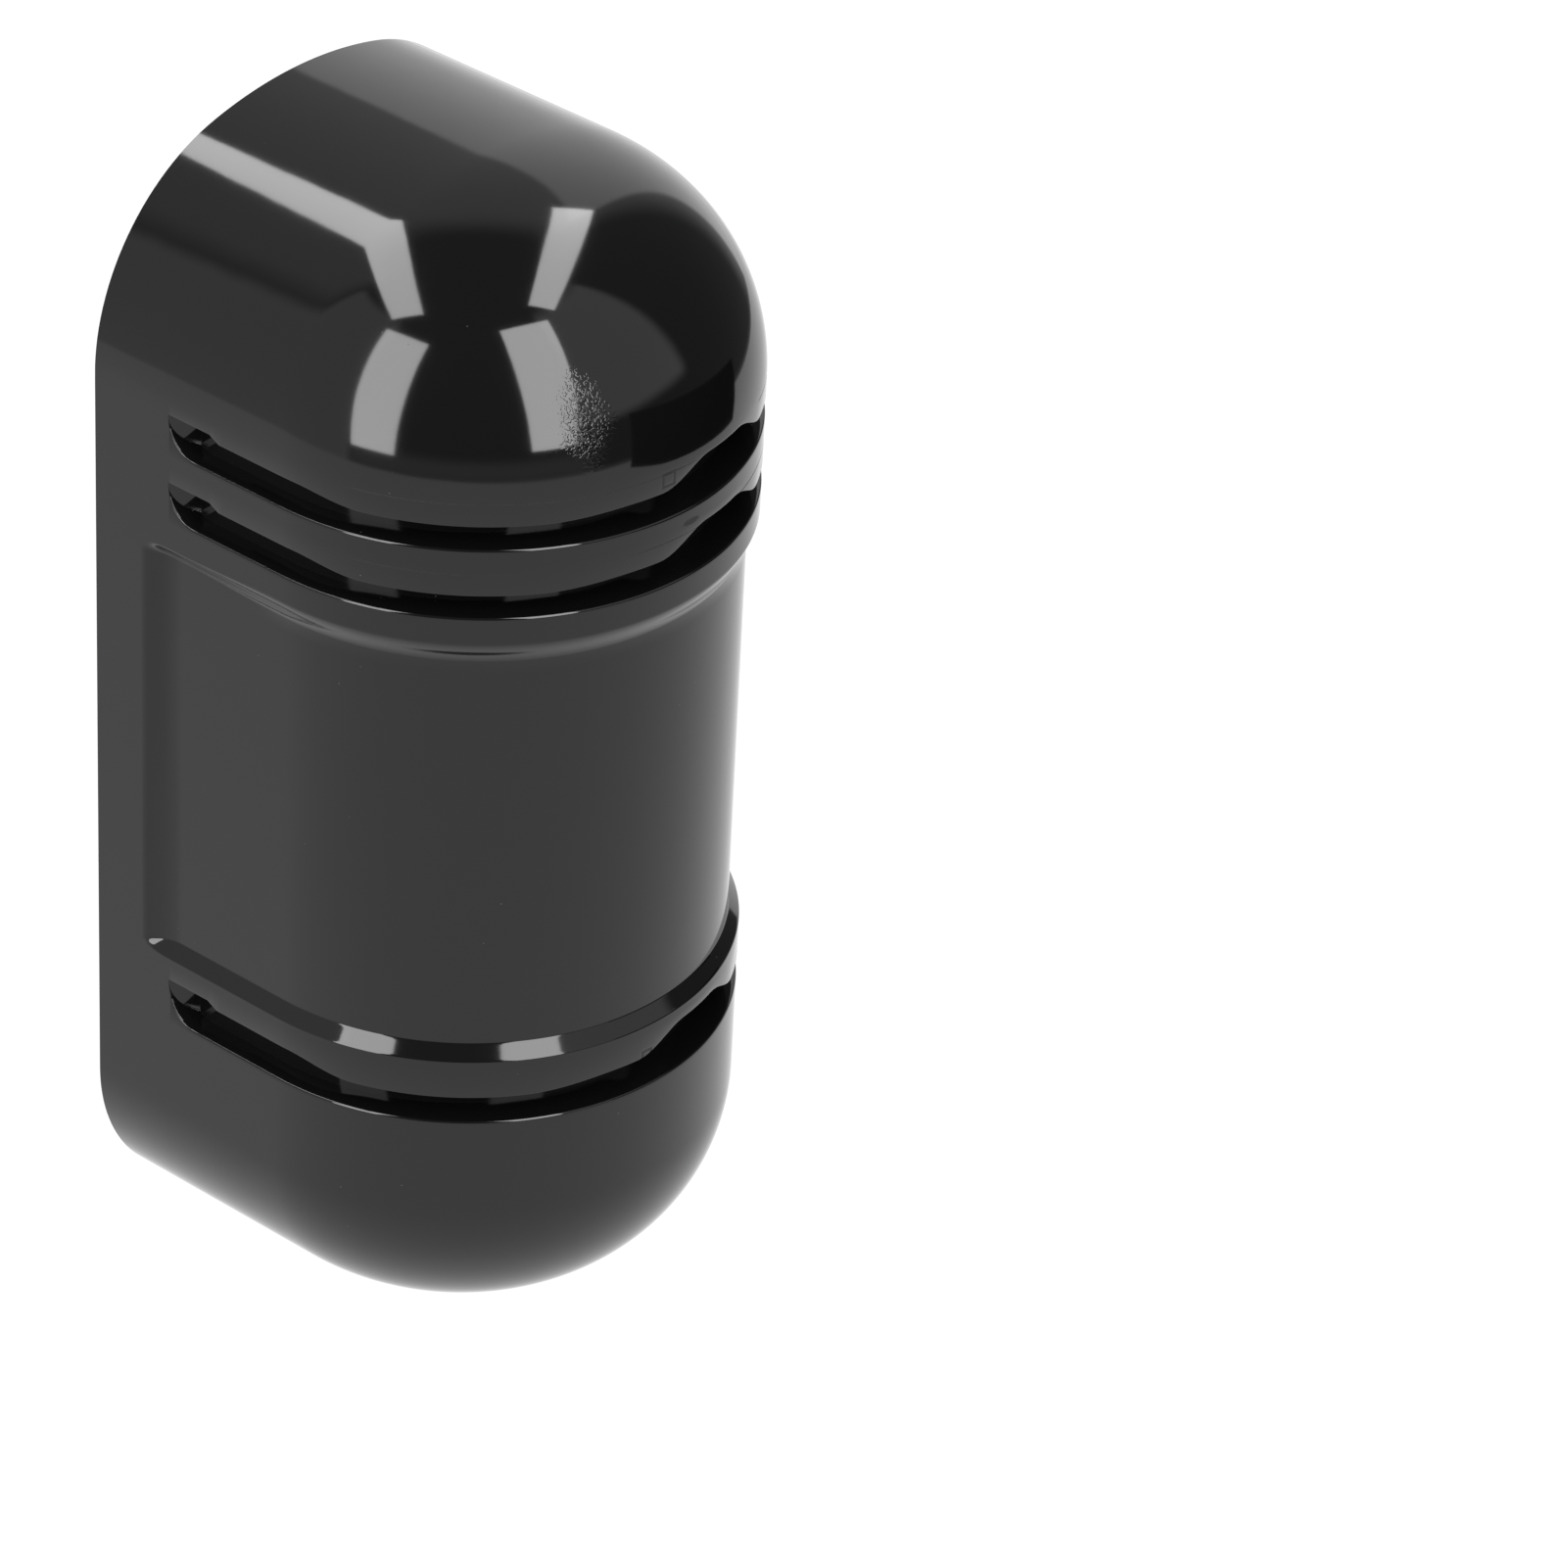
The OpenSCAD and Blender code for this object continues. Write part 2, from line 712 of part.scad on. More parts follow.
module diode_board(z) {
    color("darkgreen") rod_y(diode_board_r, 0, z, head_rear - 3, head_rear - 4.2);
}

module diode(z) {
    rear = head_rear - 4.2;
    color([0.25, 0.2, 0.35]) {
        rod_y(diode_r - 0.2, 0, z, rear, rear - diode_l + diode_r);
        intersection() {
            translate([0, rear - diode_l + diode_r, z]) sphere(diode_r - 0.2, $fn = 48);
            rod_y(diode_r, 0, z, rear - diode_l + diode_r, rear - diode_l);
        }
    }
}

module sight_mirror() {
    mid_y = (head_face + head_rear) / 2;
    color("lightsteelblue") translate([0, mid_y, head_top]) rotate([0, 0, 45])
        block([-mirror_t / 2, -mirror_half, tower_wall], [mirror_t / 2, mirror_half, tower_h - 0.2]);
}

module sight_cap() {
    color([0.1, 0.1, 0.11]) {
        block([-tower_half, head_face + 1, head_top + tower_h], [tower_half, head_rear - 1, head_top + tower_h + 1.5]);
    }
}

// ---- Boards ----

function control_screw_x(z) = z < (control_z[0] + control_z[1]) / 2 ? control_half - 3 : -control_half + 12;

// A board on its posts, with a hole for each screw
module board(half, zs, holes) {
    color([0.05, 0.3, 0.12]) bar(board_rear, board_front) difference() {
        translate([-half, zs[0]]) square([2 * half, zs[1] - zs[0]]);
        for (hole = holes) translate(hole) circle(1 + run);
    }
}

module board_screws(holes) {
    color("silver") for (hole = holes) {
        rod_y(1, hole[0], hole[1], board_rear - 0.1, board_front);
        rod_y(2, hole[0], hole[1], board_front, board_front - 1.3);
    }
}

control_holes = [for (z = [control_z[0] + 3, control_z[1] - 3]) [control_screw_x(z), z]];
main_holes = [for (z = [main_z[0] + 3, main_z[1] - 3]) [main_half - 3, z]];
terminal_holes = [for (x = [-1, 1]) [x * (terminal_half - 3), terminal_z[1] - 3]];

module main_board_parts() {
    color([0.08, 0.08, 0.08]) {
        for (z = [head_z - 18, head_z + 2])
            block([-7, board_front - 1.6, z], [5, board_front, z + 9]);
        block([-17, board_front - 1.4, head_z - 4], [-10, board_front, head_z + 3]);
    }
    color("silver") for (z = [head_z - 24, head_z + 14, head_z + 22])
        block([-6, board_front - 1, z], [-2.5, board_front, z + 2]);
}

module relay() {
    color([0.9, 0.9, 0.88]) block([12.5, board_front - 5, head_z + 4], [19.5, board_front, head_z + 20]);
}

module capacitors() {
    color([0.12, 0.16, 0.3]) for (z = [head_z - 20, head_z - 11, head_z + 24])
        rod_y(3, -16.5, z, board_front, board_front - 5.5);
}

module status_leds() {
    for (i = [0 : 2]) color(["limegreen", "yellow", "red"][i]) {
        rod_y(led_r, led_x[i], led_z, board_front, board_front - 3);
        translate([led_x[i], board_front - 3, led_z]) sphere(led_r, $fn = 32);
    }
}

module test_jack() {
    color([0.85, 0.85, 0.82]) difference() {
        block([-3.5, board_front - 5, trim_z - 2.5], [4.5, board_front, trim_z + 2.5]);
        for (x = [-1.5, 2.5]) rod_y(0.8, x, trim_z, board_front - 1, board_front - 6);
    }
}

module dip_switch_body() {
    color("firebrick") difference() {
        block([dip_x, board_front - dip_d, dip_z], [dip_x + dip_w, board_front, dip_z + dip_h]);
        for (i = [0 : 3]) {
            x = dip_slot_x(i);
            block([x - dip_slot_w / 2, board_front - dip_d - 1, dip_z + (dip_h - dip_slot_h) / 2],
                [x + dip_slot_w / 2, board_front - dip_d + 1.5, dip_z + (dip_h + dip_slot_h) / 2]);
        }
    }
}

function dip_slot_x(i) = dip_x + dip_w / 2 + (i - 1.5) * dip_pitch;

module dip_slider(i) {
    x = dip_slot_x(i);
    low = dip_z + (dip_h - dip_slot_h) / 2 + 0.1;
    half = dip_slot_w / 2 - 0.1;
    color("white") block([x - half, board_front - dip_d - 0.6, low],
        [x + half, board_front - dip_d + 1.4, low + dip_slot_h - dip_travel - 0.2]);
}

module trimmer_body() {
    color("royalblue") difference() {
        block([trim_x - trim_r, board_front - trim_d, trim_z - trim_r], [trim_x + trim_r, board_front, trim_z + trim_r]);
        rod_y(rotor_r + run, trim_x, trim_z, board_front - trim_d + 1.6, board_front - trim_d - 1);
    }
}

module trimmer_rotor() {
    front = board_front - trim_d - 0.6;
    color("white") difference() {
        rod_y(rotor_r, trim_x, trim_z, board_front - trim_d + 1.5, front);
        translate([trim_x, front, trim_z]) cube([3.4, 1.2, 0.7], center = true);
    }
}

module tamper_switch() {
    color([0.1, 0.1, 0.1]) difference() {
        block([tamper_x, board_front - tamper_d, tamper_z], [tamper_x + tamper_w, board_front, tamper_z + tamper_h]);
        rod_y(plunger_r + run, tamper_x + tamper_w / 2, plunger_z, board_front - tamper_d + plunger_sink + 1.6,
            board_front - tamper_d - 1);
    }
}

module tamper_plunger() {
    color("ivory") rod_y(plunger_r, tamper_x + tamper_w / 2, plunger_z,
        board_front - tamper_d + plunger_sink, board_front - tamper_d - plunger_out);
}

// ---- Terminals ----

function pole_x(i) = (i - (poles - 1) / 2) * pole_pitch;

module terminal_block() {
    half = poles * pole_pitch / 2 + 0.8;
    color([0.1, 0.28, 0.14]) difference() {
        block([-half, board_front - block_d, block_z], [half, board_front, block_z + block_h]);
        for (i = [0 : poles - 1]) {
            block([pole_x(i) - 2.4, board_front - block_d - 1, block_z + 1.2],
                [pole_x(i) + 2.4, board_front - block_d + 4, block_z + block_h - 1.2]);
            block([pole_x(i) - 1.6, board_front - block_d + 3, block_z - 1],
                [pole_x(i) + 1.6, board_front - block_d + 6, block_z + 3]);
        }
    }
}

module terminal_clamps() {
    y = board_front - block_d + 4;
    color("goldenrod") for (i = [0 : poles - 1])
        block([pole_x(i) - 2.2, y - 0.8, block_z + 1.5], [pole_x(i) + 2.2, y - 0.05, block_z + block_h - 1.5]);
}

module terminal_screws() {
    y = board_front - block_d + 4 - 0.85;
    color("silver") for (i = [0 : poles - 1])
        screw_y(0.9, 1.9, 1.4, pole_x(i), block_z + block_h / 2, y - 0.1, y - 0.2);
}

// ---- Every node ----

cover();
cover_screw();
cover_clamp_nut();
cover_seal();
wall_plate();
chassis();
unit_lock_screw();
cable_grommet();
swivel_shelf();
shelf_screws();
turntable_yoke();
hub_washer();
hub_screw();
tilt_pins();
tilt_screw();
tilt_screw_clip();
tilt_nut();
head_housing();
head_back_cover();
head_screws();
lens(lens_zs[1]);  // upper_lens
lens(lens_zs[0]);  // lower_lens
bezel(lens_zs[1]);  // upper_bezel
bezel(lens_zs[0]);  // lower_bezel
light_shields();
diode_board(lens_zs[1]);  // upper_diode_board
diode_board(lens_zs[0]);  // lower_diode_board
diode(lens_zs[1]);  // upper_diode
diode(lens_zs[0]);  // lower_diode
sight_mirror();
sight_cap();
board(main_half, main_z, main_holes);  // main_board
main_board_parts();
relay();
capacitors();
board_screws(main_holes);  // main_board_screws
board(control_half, control_z, control_holes);  // control_board
board_screws(control_holes);  // control_board_screws
status_leds();
test_jack();
dip_switch_body();
dip_slider(0);  // dip_slider_1
dip_slider(1);  // dip_slider_2
dip_slider(2);  // dip_slider_3
dip_slider(3);  // dip_slider_4
trimmer_body();
trimmer_rotor();
tamper_switch();
tamper_plunger();
board(terminal_half, terminal_z, terminal_holes);  // terminal_board
board_screws(terminal_holes);  // terminal_board_screws
terminal_block();
terminal_clamps();
terminal_screws();
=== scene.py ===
"""An outdoor infrared beam sensor: a glossy black cover over its optical head, wall plate and boards."""
import math

import bmesh
import bpy
from mathutils import Matrix, Vector

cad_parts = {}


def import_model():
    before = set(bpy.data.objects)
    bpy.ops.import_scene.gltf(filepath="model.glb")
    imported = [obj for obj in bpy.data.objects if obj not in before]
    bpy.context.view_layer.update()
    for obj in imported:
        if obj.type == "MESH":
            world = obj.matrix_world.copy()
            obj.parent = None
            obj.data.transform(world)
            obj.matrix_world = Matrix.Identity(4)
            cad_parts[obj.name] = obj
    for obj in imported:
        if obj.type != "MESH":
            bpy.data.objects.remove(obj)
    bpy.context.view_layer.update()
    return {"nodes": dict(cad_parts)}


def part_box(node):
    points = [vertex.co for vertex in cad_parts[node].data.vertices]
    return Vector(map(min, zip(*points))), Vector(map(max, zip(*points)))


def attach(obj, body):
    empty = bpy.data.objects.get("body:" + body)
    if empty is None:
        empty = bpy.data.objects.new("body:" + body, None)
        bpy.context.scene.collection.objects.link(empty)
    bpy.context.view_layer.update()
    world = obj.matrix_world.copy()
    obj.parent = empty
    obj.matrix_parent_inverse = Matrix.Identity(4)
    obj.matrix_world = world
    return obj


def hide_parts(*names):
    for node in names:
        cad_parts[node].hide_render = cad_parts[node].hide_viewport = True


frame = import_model()
NODES = frame["nodes"]

MM = 0.001

# ---- Sizes of the cover, from the frame ----

COVER_LOW, COVER_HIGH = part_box("cover")
HALF_W = COVER_HIGH.x
TOP, BOTTOM = COVER_HIGH.z, COVER_LOW.z
RIM_Y = COVER_HIGH.y
AXIS_Y = COVER_LOW.y + HALF_W           # axis of the round front
MID_S = -AXIS_Y + HALF_W * math.pi / 2  # the middle of the front, as a distance from the wall
WALL = 2.2 * MM                         # thickness of the shell
SHARP_ANGLE = math.radians(38)          # edges sharper than this stay sharp

# The outline seen from the front: a crown, two shoulders, straight walls and a rounded foot
CROWN_R, SHOULDER_R, BASE_R = 62 * MM, 30 * MM, 28.5 * MM
CROWN_Z = TOP - CROWN_R
SHOULDER_X = HALF_W - SHOULDER_R
SHOULDER_Z = CROWN_Z + math.sqrt((CROWN_R - SHOULDER_R) ** 2 - SHOULDER_X ** 2)
ARCH_LOW = SHOULDER_Z + 2.5 * MM        # where the crown's rows end and the wall's begin
BASE_Z = BOTTOM + BASE_R
CROWN_STEPS, SHOULDER_STEPS, FOOT_STEPS, SOLE_STEPS = 16, 26, 36, 6

# Grooves: top and low edge at the sides, and how far the top edge drops towards the front
GROOVES = [
    (TOP - 32.5 * MM, TOP - 37.05 * MM, 1.1 * MM),
    (TOP - 42.8 * MM, TOP - 47.35 * MM, 1.2 * MM),
    (BOTTOM + 48.9 * MM, BOTTOM + 43.4 * MM, 1.5 * MM),
]
GROOVE_ROWS = 10
GROOVE_SIDE, GROOVE_FRONT = 3.4 * MM, 5.0 * MM      # depth at the sides and at the front
EDGE = 0.28 * MM                        # rounding of the grooves' edges
# Distances along the surface from the wall at which a groove changes
GROOVE_START = 14.0 * MM
CORNER = 4.8 * MM                       # length of the rounded lower corner at a groove's end
CORNER_STEPS = 14                       # columns across that corner
END_RAMP = CORNER * (1 - math.cos(math.pi / 2 * 10 / CORNER_STEPS))     # length of the slanted end
REAR_RISE, REAR_RAMP = 0.9 * MM, (21.3 * MM, 23.0 * MM)     # the top edge is higher near the end
FRONT_RAMP = (36.0 * MM, 46.5 * MM)     # where the top edge drops
MIDDLE_RAMP = (70.0 * MM, 84.0 * MM)    # where it gets half of that back
NOTCH_RISE = 2.9 * MM                   # a wide notch beside the middle of the front, on one side
NOTCH_RAMPS = (87.3 * MM, 96.0 * MM, 103.0 * MM, 112.0 * MM)

# The window's recess
WINDOW_DEPTH = 1.6 * MM
WINDOW_RAMP = (9.6 * MM, 15.0 * MM)     # its soft side edges
WINDOW_LOW = BOTTOM + 53.3 * MM
BEVEL_H = 2.0 * MM                      # height of its crisp lower bevel
WINDOW_HIGH = TOP - 53.2 * MM           # the middle of its soft top edge
BLEND_H = (2.2 * MM, 3.5 * MM)          # height of the top edge, at the sides and at the front
BLEND_RAMP = (15.0 * MM, 34.0 * MM)
WINDOW_TOP = WINDOW_HIGH + BLEND_H[1] / 2
INNER_BLEND, INNER_BACK = 0.6 * MM, 0.8 * MM        # how softly the inside follows the recesses

# Columns along the side wall: close ones where the window or a groove begins or changes
REAR_COLUMNS = [v * MM for v in (2.5, 4.5, 6.5, 8.0, 9.0)]
WINDOW_COLUMNS = [WINDOW_RAMP[0] + 0.4 * MM * i for i in range(10)]
KINK_COLUMNS = [v * MM for v in (19.5, 20.2, 20.8, 21.3, 21.7, 22.15, 22.6, 23.0, 23.6, 24.4)]
SIDE_FROM, SIDE_PITCH = 25.4 * MM, 1.4 * MM
FRONT_STEPS = 76


# ---- Small helpers ----

def clamp(t):
    return min(max(t, 0.0), 1.0)


def share(v, ends):
    """How far v has come from one end to the other, 0 to 1."""
    return clamp((v - ends[0]) / (ends[1] - ends[0]))


def smooth(t):
    t = clamp(t)
    return t * t * (3 - 2 * t)


def link(name, data):
    """A new object in the scene."""
    obj = bpy.data.objects.new(name, data)
    bpy.context.scene.collection.objects.link(obj)
    return obj


def new_object(name, mesh, material, body):
    """A piece of the part, with the body it rides and the slot of its material."""
    obj = link(name, mesh)
    mesh.materials.append(material)
    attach(obj, body)
    return obj


# ---- The cover's mesh ----

def arch_points(inset):
    """Rows of the crown, from the top centre down to the shoulder: (x, z)."""
    tilt = math.atan2(SHOULDER_X, SHOULDER_Z - CROWN_Z)
    end = math.acos((ARCH_LOW - SHOULDER_Z) / SHOULDER_R)
    pts = []
    for i in range(CROWN_STEPS + 1):
        a, r = tilt * i / CROWN_STEPS, CROWN_R - inset
        pts.append((r * math.sin(a), CROWN_Z + r * math.cos(a)))
    for i in range(1, SHOULDER_STEPS + 1):
        a, r = tilt + (end - tilt) * i / SHOULDER_STEPS, SHOULDER_R - inset
        pts.append((SHOULDER_X + r * math.sin(a), SHOULDER_Z + r * math.cos(a)))
    return pts


def wall_x(z):
    """Half width of the wall at height z, which starts to curve in just under the crown."""
    return SHOULDER_X + math.sqrt(SHOULDER_R ** 2 - max(z - SHOULDER_Z, 0) ** 2)


def foot_points(inset):
    """Rows of the foot, from the straight wall down to the bottom centre: (x, z)."""
    r, half_sole = BASE_R - inset, HALF_W - BASE_R
    pts = []
    for i in range(1, FOOT_STEPS + 1):
        a = math.pi / 2 * i / FOOT_STEPS
        pts.append((half_sole + r * math.cos(a), BASE_Z - r * math.sin(a)))
    for i in range(1, SOLE_STEPS + 1):
        pts.append((half_sole * (1 - i / SOLE_STEPS), BASE_Z - r))
    return pts


def plan_columns():
    """Columns of one half, from the rim forwards: ("side", y) or ("front", angle)."""
    corner = [GROOVE_START + CORNER * (1 - math.cos(math.pi / 2 * i / CORNER_STEPS))
              for i in range(CORNER_STEPS + 1)]
    ys = [-RIM_Y, *REAR_COLUMNS, *WINDOW_COLUMNS, GROOVE_START - 0.05 * MM, *corner, *KINK_COLUMNS]
    y = SIDE_FROM
    while y < -AXIS_Y - 0.6 * MM:
        ys.append(y)
        y += SIDE_PITCH
    front = [math.pi / 2 * i / FRONT_STEPS for i in range(FRONT_STEPS + 1)]
    return [("side", -y) for y in ys] + [("front", a) for a in front]


def along(col):
    """Distance of a column from the wall along the surface."""
    kind, v = col
    return -v if kind == "side" else -AXIS_Y + HALF_W * v


def groove_depth(col):
    """Depth of the grooves at a column: a little more at the front than at the sides."""
    kind, v = col
    r = HALF_W - GROOVE_SIDE
    cy = AXIS_Y - HALF_W + GROOVE_FRONT + r
    if kind == "side":
        if v > cy:
            return GROOVE_SIDE
        return HALF_W - math.sqrt(max(r * r - (v - cy) ** 2, 0))
    d = Vector((-math.cos(v), math.sin(v)))
    p = Vector((HALF_W * math.cos(v), AXIS_Y - HALF_W * math.sin(v))) - Vector((0, cy))
    b = p.dot(d)
    return -b - math.sqrt(max(b * b - (p.dot(p) - r * r), 0))


def groove_edges(groove, s, side):
    """Top and low edge of a groove at distance s from the wall, on the side -1 or 1."""
    top, low, front_drop = groove
    top -= front_drop * smooth(share(s, FRONT_RAMP))
    top += front_drop / 2 * smooth(share(s, MIDDLE_RAMP))
    top += REAR_RISE * (1 - share(s, REAR_RAMP))
    round_s = s if side < 0 else 2 * MID_S - s
    a, b, c, d = NOTCH_RAMPS
    top += NOTCH_RISE * smooth(share(round_s, (a, b))) * smooth(share(round_s, (d, c)))
    k = clamp((s - GROOVE_START) / CORNER)
    return top, top - (top - low) * math.sqrt(1 - (1 - k) ** 2)


def window_inset(s, z):
    """Depth of the window's recess, with soft sides, a soft top and a crisp lower bevel."""
    outwards = (1 - share(s, WINDOW_RAMP)) ** 2
    if z < 0:
        low = clamp((z - WINDOW_LOW) / BEVEL_H)
        return WINDOW_DEPTH * (1 - min(math.hypot(outwards, 1 - low), 1))
    blend = BLEND_H[0] + (BLEND_H[1] - BLEND_H[0]) * smooth(share(s, BLEND_RAMP))
    high = clamp((WINDOW_HIGH - z) / blend + 0.5)
    depth = 1 - min(math.hypot(outwards, 1 - high), 1)
    # a straight slope with slightly rounded ends
    return WINDOW_DEPTH * (0.4 * smooth(depth) + 0.6 * depth)


def wall_rows():
    """Rows of the straight wall, from the shoulder down: ("flat", z) or ("groove", groove, step)."""
    rows = []

    def band(top, low, count):
        rows.extend(("flat", top + (low - top) * i / count) for i in range(count + 1))

    def groove(g):
        rows.extend(("groove", g, step) for step in range(GROOVE_ROWS))

    g0, g1, g2 = GROOVES
    above, below = NOTCH_RISE + 0.5 * MM, 0.7 * MM      # room for a groove's notch and its lower edge
    bevel_top = WINDOW_LOW + BEVEL_H
    band(ARCH_LOW - 0.4 * MM, ARCH_LOW - 1.3 * MM, 2)
    groove(g0)
    band(g0[1] - below, g1[0] + above, 3)
    groove(g1)
    band(g1[1] - below, WINDOW_TOP + 0.3 * MM, 2)
    band(WINDOW_TOP, WINDOW_TOP - BLEND_H[1], 24)
    band(WINDOW_TOP - BLEND_H[1] - 2 * MM, bevel_top + 2 * MM, 12)
    # close rows hold the bevel's two edges
    band(bevel_top + 0.15 * MM, bevel_top - 0.1 * MM, 2)
    band(bevel_top - 0.3 * MM, WINDOW_LOW + 0.3 * MM, 6)
    band(WINDOW_LOW + 0.1 * MM, WINDOW_LOW - 0.15 * MM, 2)
    band(WINDOW_LOW - 0.6 * MM, g2[0] + above, 2)
    groove(g2)
    band(g2[1] - below, BASE_Z, 6)
    return rows


def groove_row(g, step, s, col, side):
    """Height and inset of one of a groove's rows: upper edge, ceiling, floor, ledge, lower edge."""
    top, low = groove_edges(g, s, side)
    d = groove_depth(col) * clamp((s - GROOVE_START) / END_RAMP)
    e = min(EDGE, (top - low) / 4)
    e_in = min(EDGE, d)
    lip = e_in + 0.05 * d
    z, inset = [
        (top + 0.7 * e, 0), (top + 0.15 * e, 0.15 * e_in), (top, 0.55 * e_in), (top, lip),
        (top, d), (low, d),
        (low, lip), (low - 0.15 * e, 0.5 * e_in), (low - 0.5 * e, 0.15 * e_in), (low - 1.1 * e, 0),
    ][step]
    # behind the groove its rows fan out evenly over the side wall
    fan_top, fan_low = g[0] + REAR_RISE, g[1]
    z_even = fan_top + (fan_low - fan_top) * step / (GROOVE_ROWS - 1)
    w = smooth(share(s, (GROOVE_START, WINDOW_RAMP[0])))
    return z * (1 - w) + z_even * w, inset


def surface_point(col, x, z, inset, side):
    """A point of the outer surface at a column, for the outline's half width x."""
    kind, v = col
    if kind == "side":
        return (side * (x - inset), v, z)
    r = x - inset
    return (side * r * math.cos(v), AXIS_Y - r * math.sin(v), z)


def outer_row(row, cols, side):
    """Points of one row of the straight wall."""
    line = []
    for c in cols:
        s = along(c)
        if row[0] == "groove":
            z, inset = groove_row(row[1], row[2], s, c, side)
        else:
            z = row[1]
            inset = window_inset(s, z) if WINDOW_LOW - MM < z < WINDOW_TOP + MM else 0.0
        line.append(surface_point(c, wall_x(z), z, inset, side))
    return line


def outline_rows(points, cols, side):
    """Plain rows that follow points of the outline."""
    return [[surface_point(c, x, z, 0, side) for c in cols] for x, z in points]


def outer_grid(cols, side):
    """Rows of points over the half of the cover on one side, -1 or 1."""
    wall = [outer_row(row, cols, side) for row in wall_rows()]
    return outline_rows(arch_points(0), cols, side) + wall + outline_rows(foot_points(0), cols, side)


def inner_inset(s, z, depth):
    """How far the inside lies in from the outer surface: the wall, and the backs of the recesses."""
    extra = 0.0
    for top, low, _ in GROOVES:
        up = clamp((top + WALL + INNER_BLEND - z) / INNER_BLEND)
        down = clamp((z - low + WALL + INNER_BLEND) / INNER_BLEND)
        back = clamp((s - GROOVE_START + WALL) / INNER_BACK)
        extra = max(extra, depth * smooth(up) * smooth(down) * smooth(back))
    up = clamp((WINDOW_TOP + WALL - z) / INNER_BACK)
    down = clamp((z - WINDOW_LOW + WALL) / INNER_BACK)
    back = clamp((s - WINDOW_RAMP[0]) / INNER_BACK)
    return WALL + max(extra, WINDOW_DEPTH * smooth(up) * smooth(down) * smooth(back))


def inner_grid(cols, count, side):
    """As many rows as the outer grid, set in to the cover's inside."""
    arch, foot = arch_points(WALL), foot_points(WALL)
    wall_count = count - len(arch) - len(foot)
    top = arch[-1][1]
    wall = []
    for i in range(wall_count):
        # an even spread of heights keeps the inner rows in order
        z = top + (BASE_Z - top) * (i + 1) / (wall_count + 1)
        wall.append([surface_point(c, wall_x(z), z, inner_inset(along(c), z, groove_depth(c)), side)
                     for c in cols])
    return outline_rows(arch, cols, side) + wall + outline_rows(foot, cols, side)


def add_grid(bm, grid, flip):
    """Adds a grid of faces and returns the vertices along the rim."""
    verts = [[bm.verts.new(p) for p in row] for row in grid]
    for i in range(len(verts) - 1):
        for j in range(len(verts[0]) - 1):
            quad = [verts[i][j], verts[i][j + 1], verts[i + 1][j + 1], verts[i + 1][j]]
            if flip:
                quad.reverse()
            bm.faces.new(quad)
    return [row[0] for row in verts]


def cover_mesh():
    """The whole shell: outer and inner grids of both halves, joined along the rim."""
    cols = plan_columns()
    bm = bmesh.new()
    for side in (1, -1):
        outer = outer_grid(cols, side)
        rim_out = add_grid(bm, outer, side < 0)
        rim_in = add_grid(bm, inner_grid(cols, len(outer), side), side > 0)
        for i in range(len(rim_out) - 1):
            bm.faces.new([rim_out[i], rim_out[i + 1], rim_in[i + 1], rim_in[i]])
    bmesh.ops.remove_doubles(bm, verts=bm.verts, dist=1e-6)
    bmesh.ops.recalc_face_normals(bm, faces=bm.faces)
    mesh = bpy.data.meshes.new("cover_shell")
    bm.to_mesh(mesh)
    bm.free()
    mesh.polygons.foreach_set("use_smooth", [True] * len(mesh.polygons))
    mesh.set_sharp_from_angle(angle=SHARP_ANGLE)
    return mesh


# ---- Materials ----

class Nodes:
    """Short forms for building a node tree."""

    def __init__(self, tree):
        self.nodes, self.links = tree.nodes, tree.links

    def feed(self, socket, value):
        """Gives an input a number, a colour, a vector or the output of a node. None leaves it alone."""
        if hasattr(value, "links"):
            self.links.new(value, socket)
        elif value is not None:
            opaque = socket.type == "RGBA" and len(value) == 3
            socket.default_value = (*value, 1) if opaque else value

    def math(self, kind, a, b=None):
        """The result of a Math node."""
        node = self.nodes.new("ShaderNodeMath")
        node.operation = kind
        self.feed(node.inputs[0], a)
        self.feed(node.inputs[1], b)
        return node.outputs[0]

    def vector(self, kind, a, b=None):
        """The two results of a Vector Math node, "Vector" and "Value"."""
        node = self.nodes.new("ShaderNodeVectorMath")
        node.operation = kind
        self.feed(node.inputs[0], a)
        self.feed(node.inputs[1], b)
        return node.outputs

    def ramp(self, value, low, high, out_low=0.0, out_high=1.0, soft=False):
        """Takes low to out_low and high to out_high, and holds the ends. A soft one needs low < high."""
        node = self.nodes.new("ShaderNodeMapRange")
        node.interpolation_type = "SMOOTHSTEP" if soft else "LINEAR"
        for i, v in enumerate((value, low, high, out_low, out_high)):
            self.feed(node.inputs[i], v)
        return node.outputs[0]


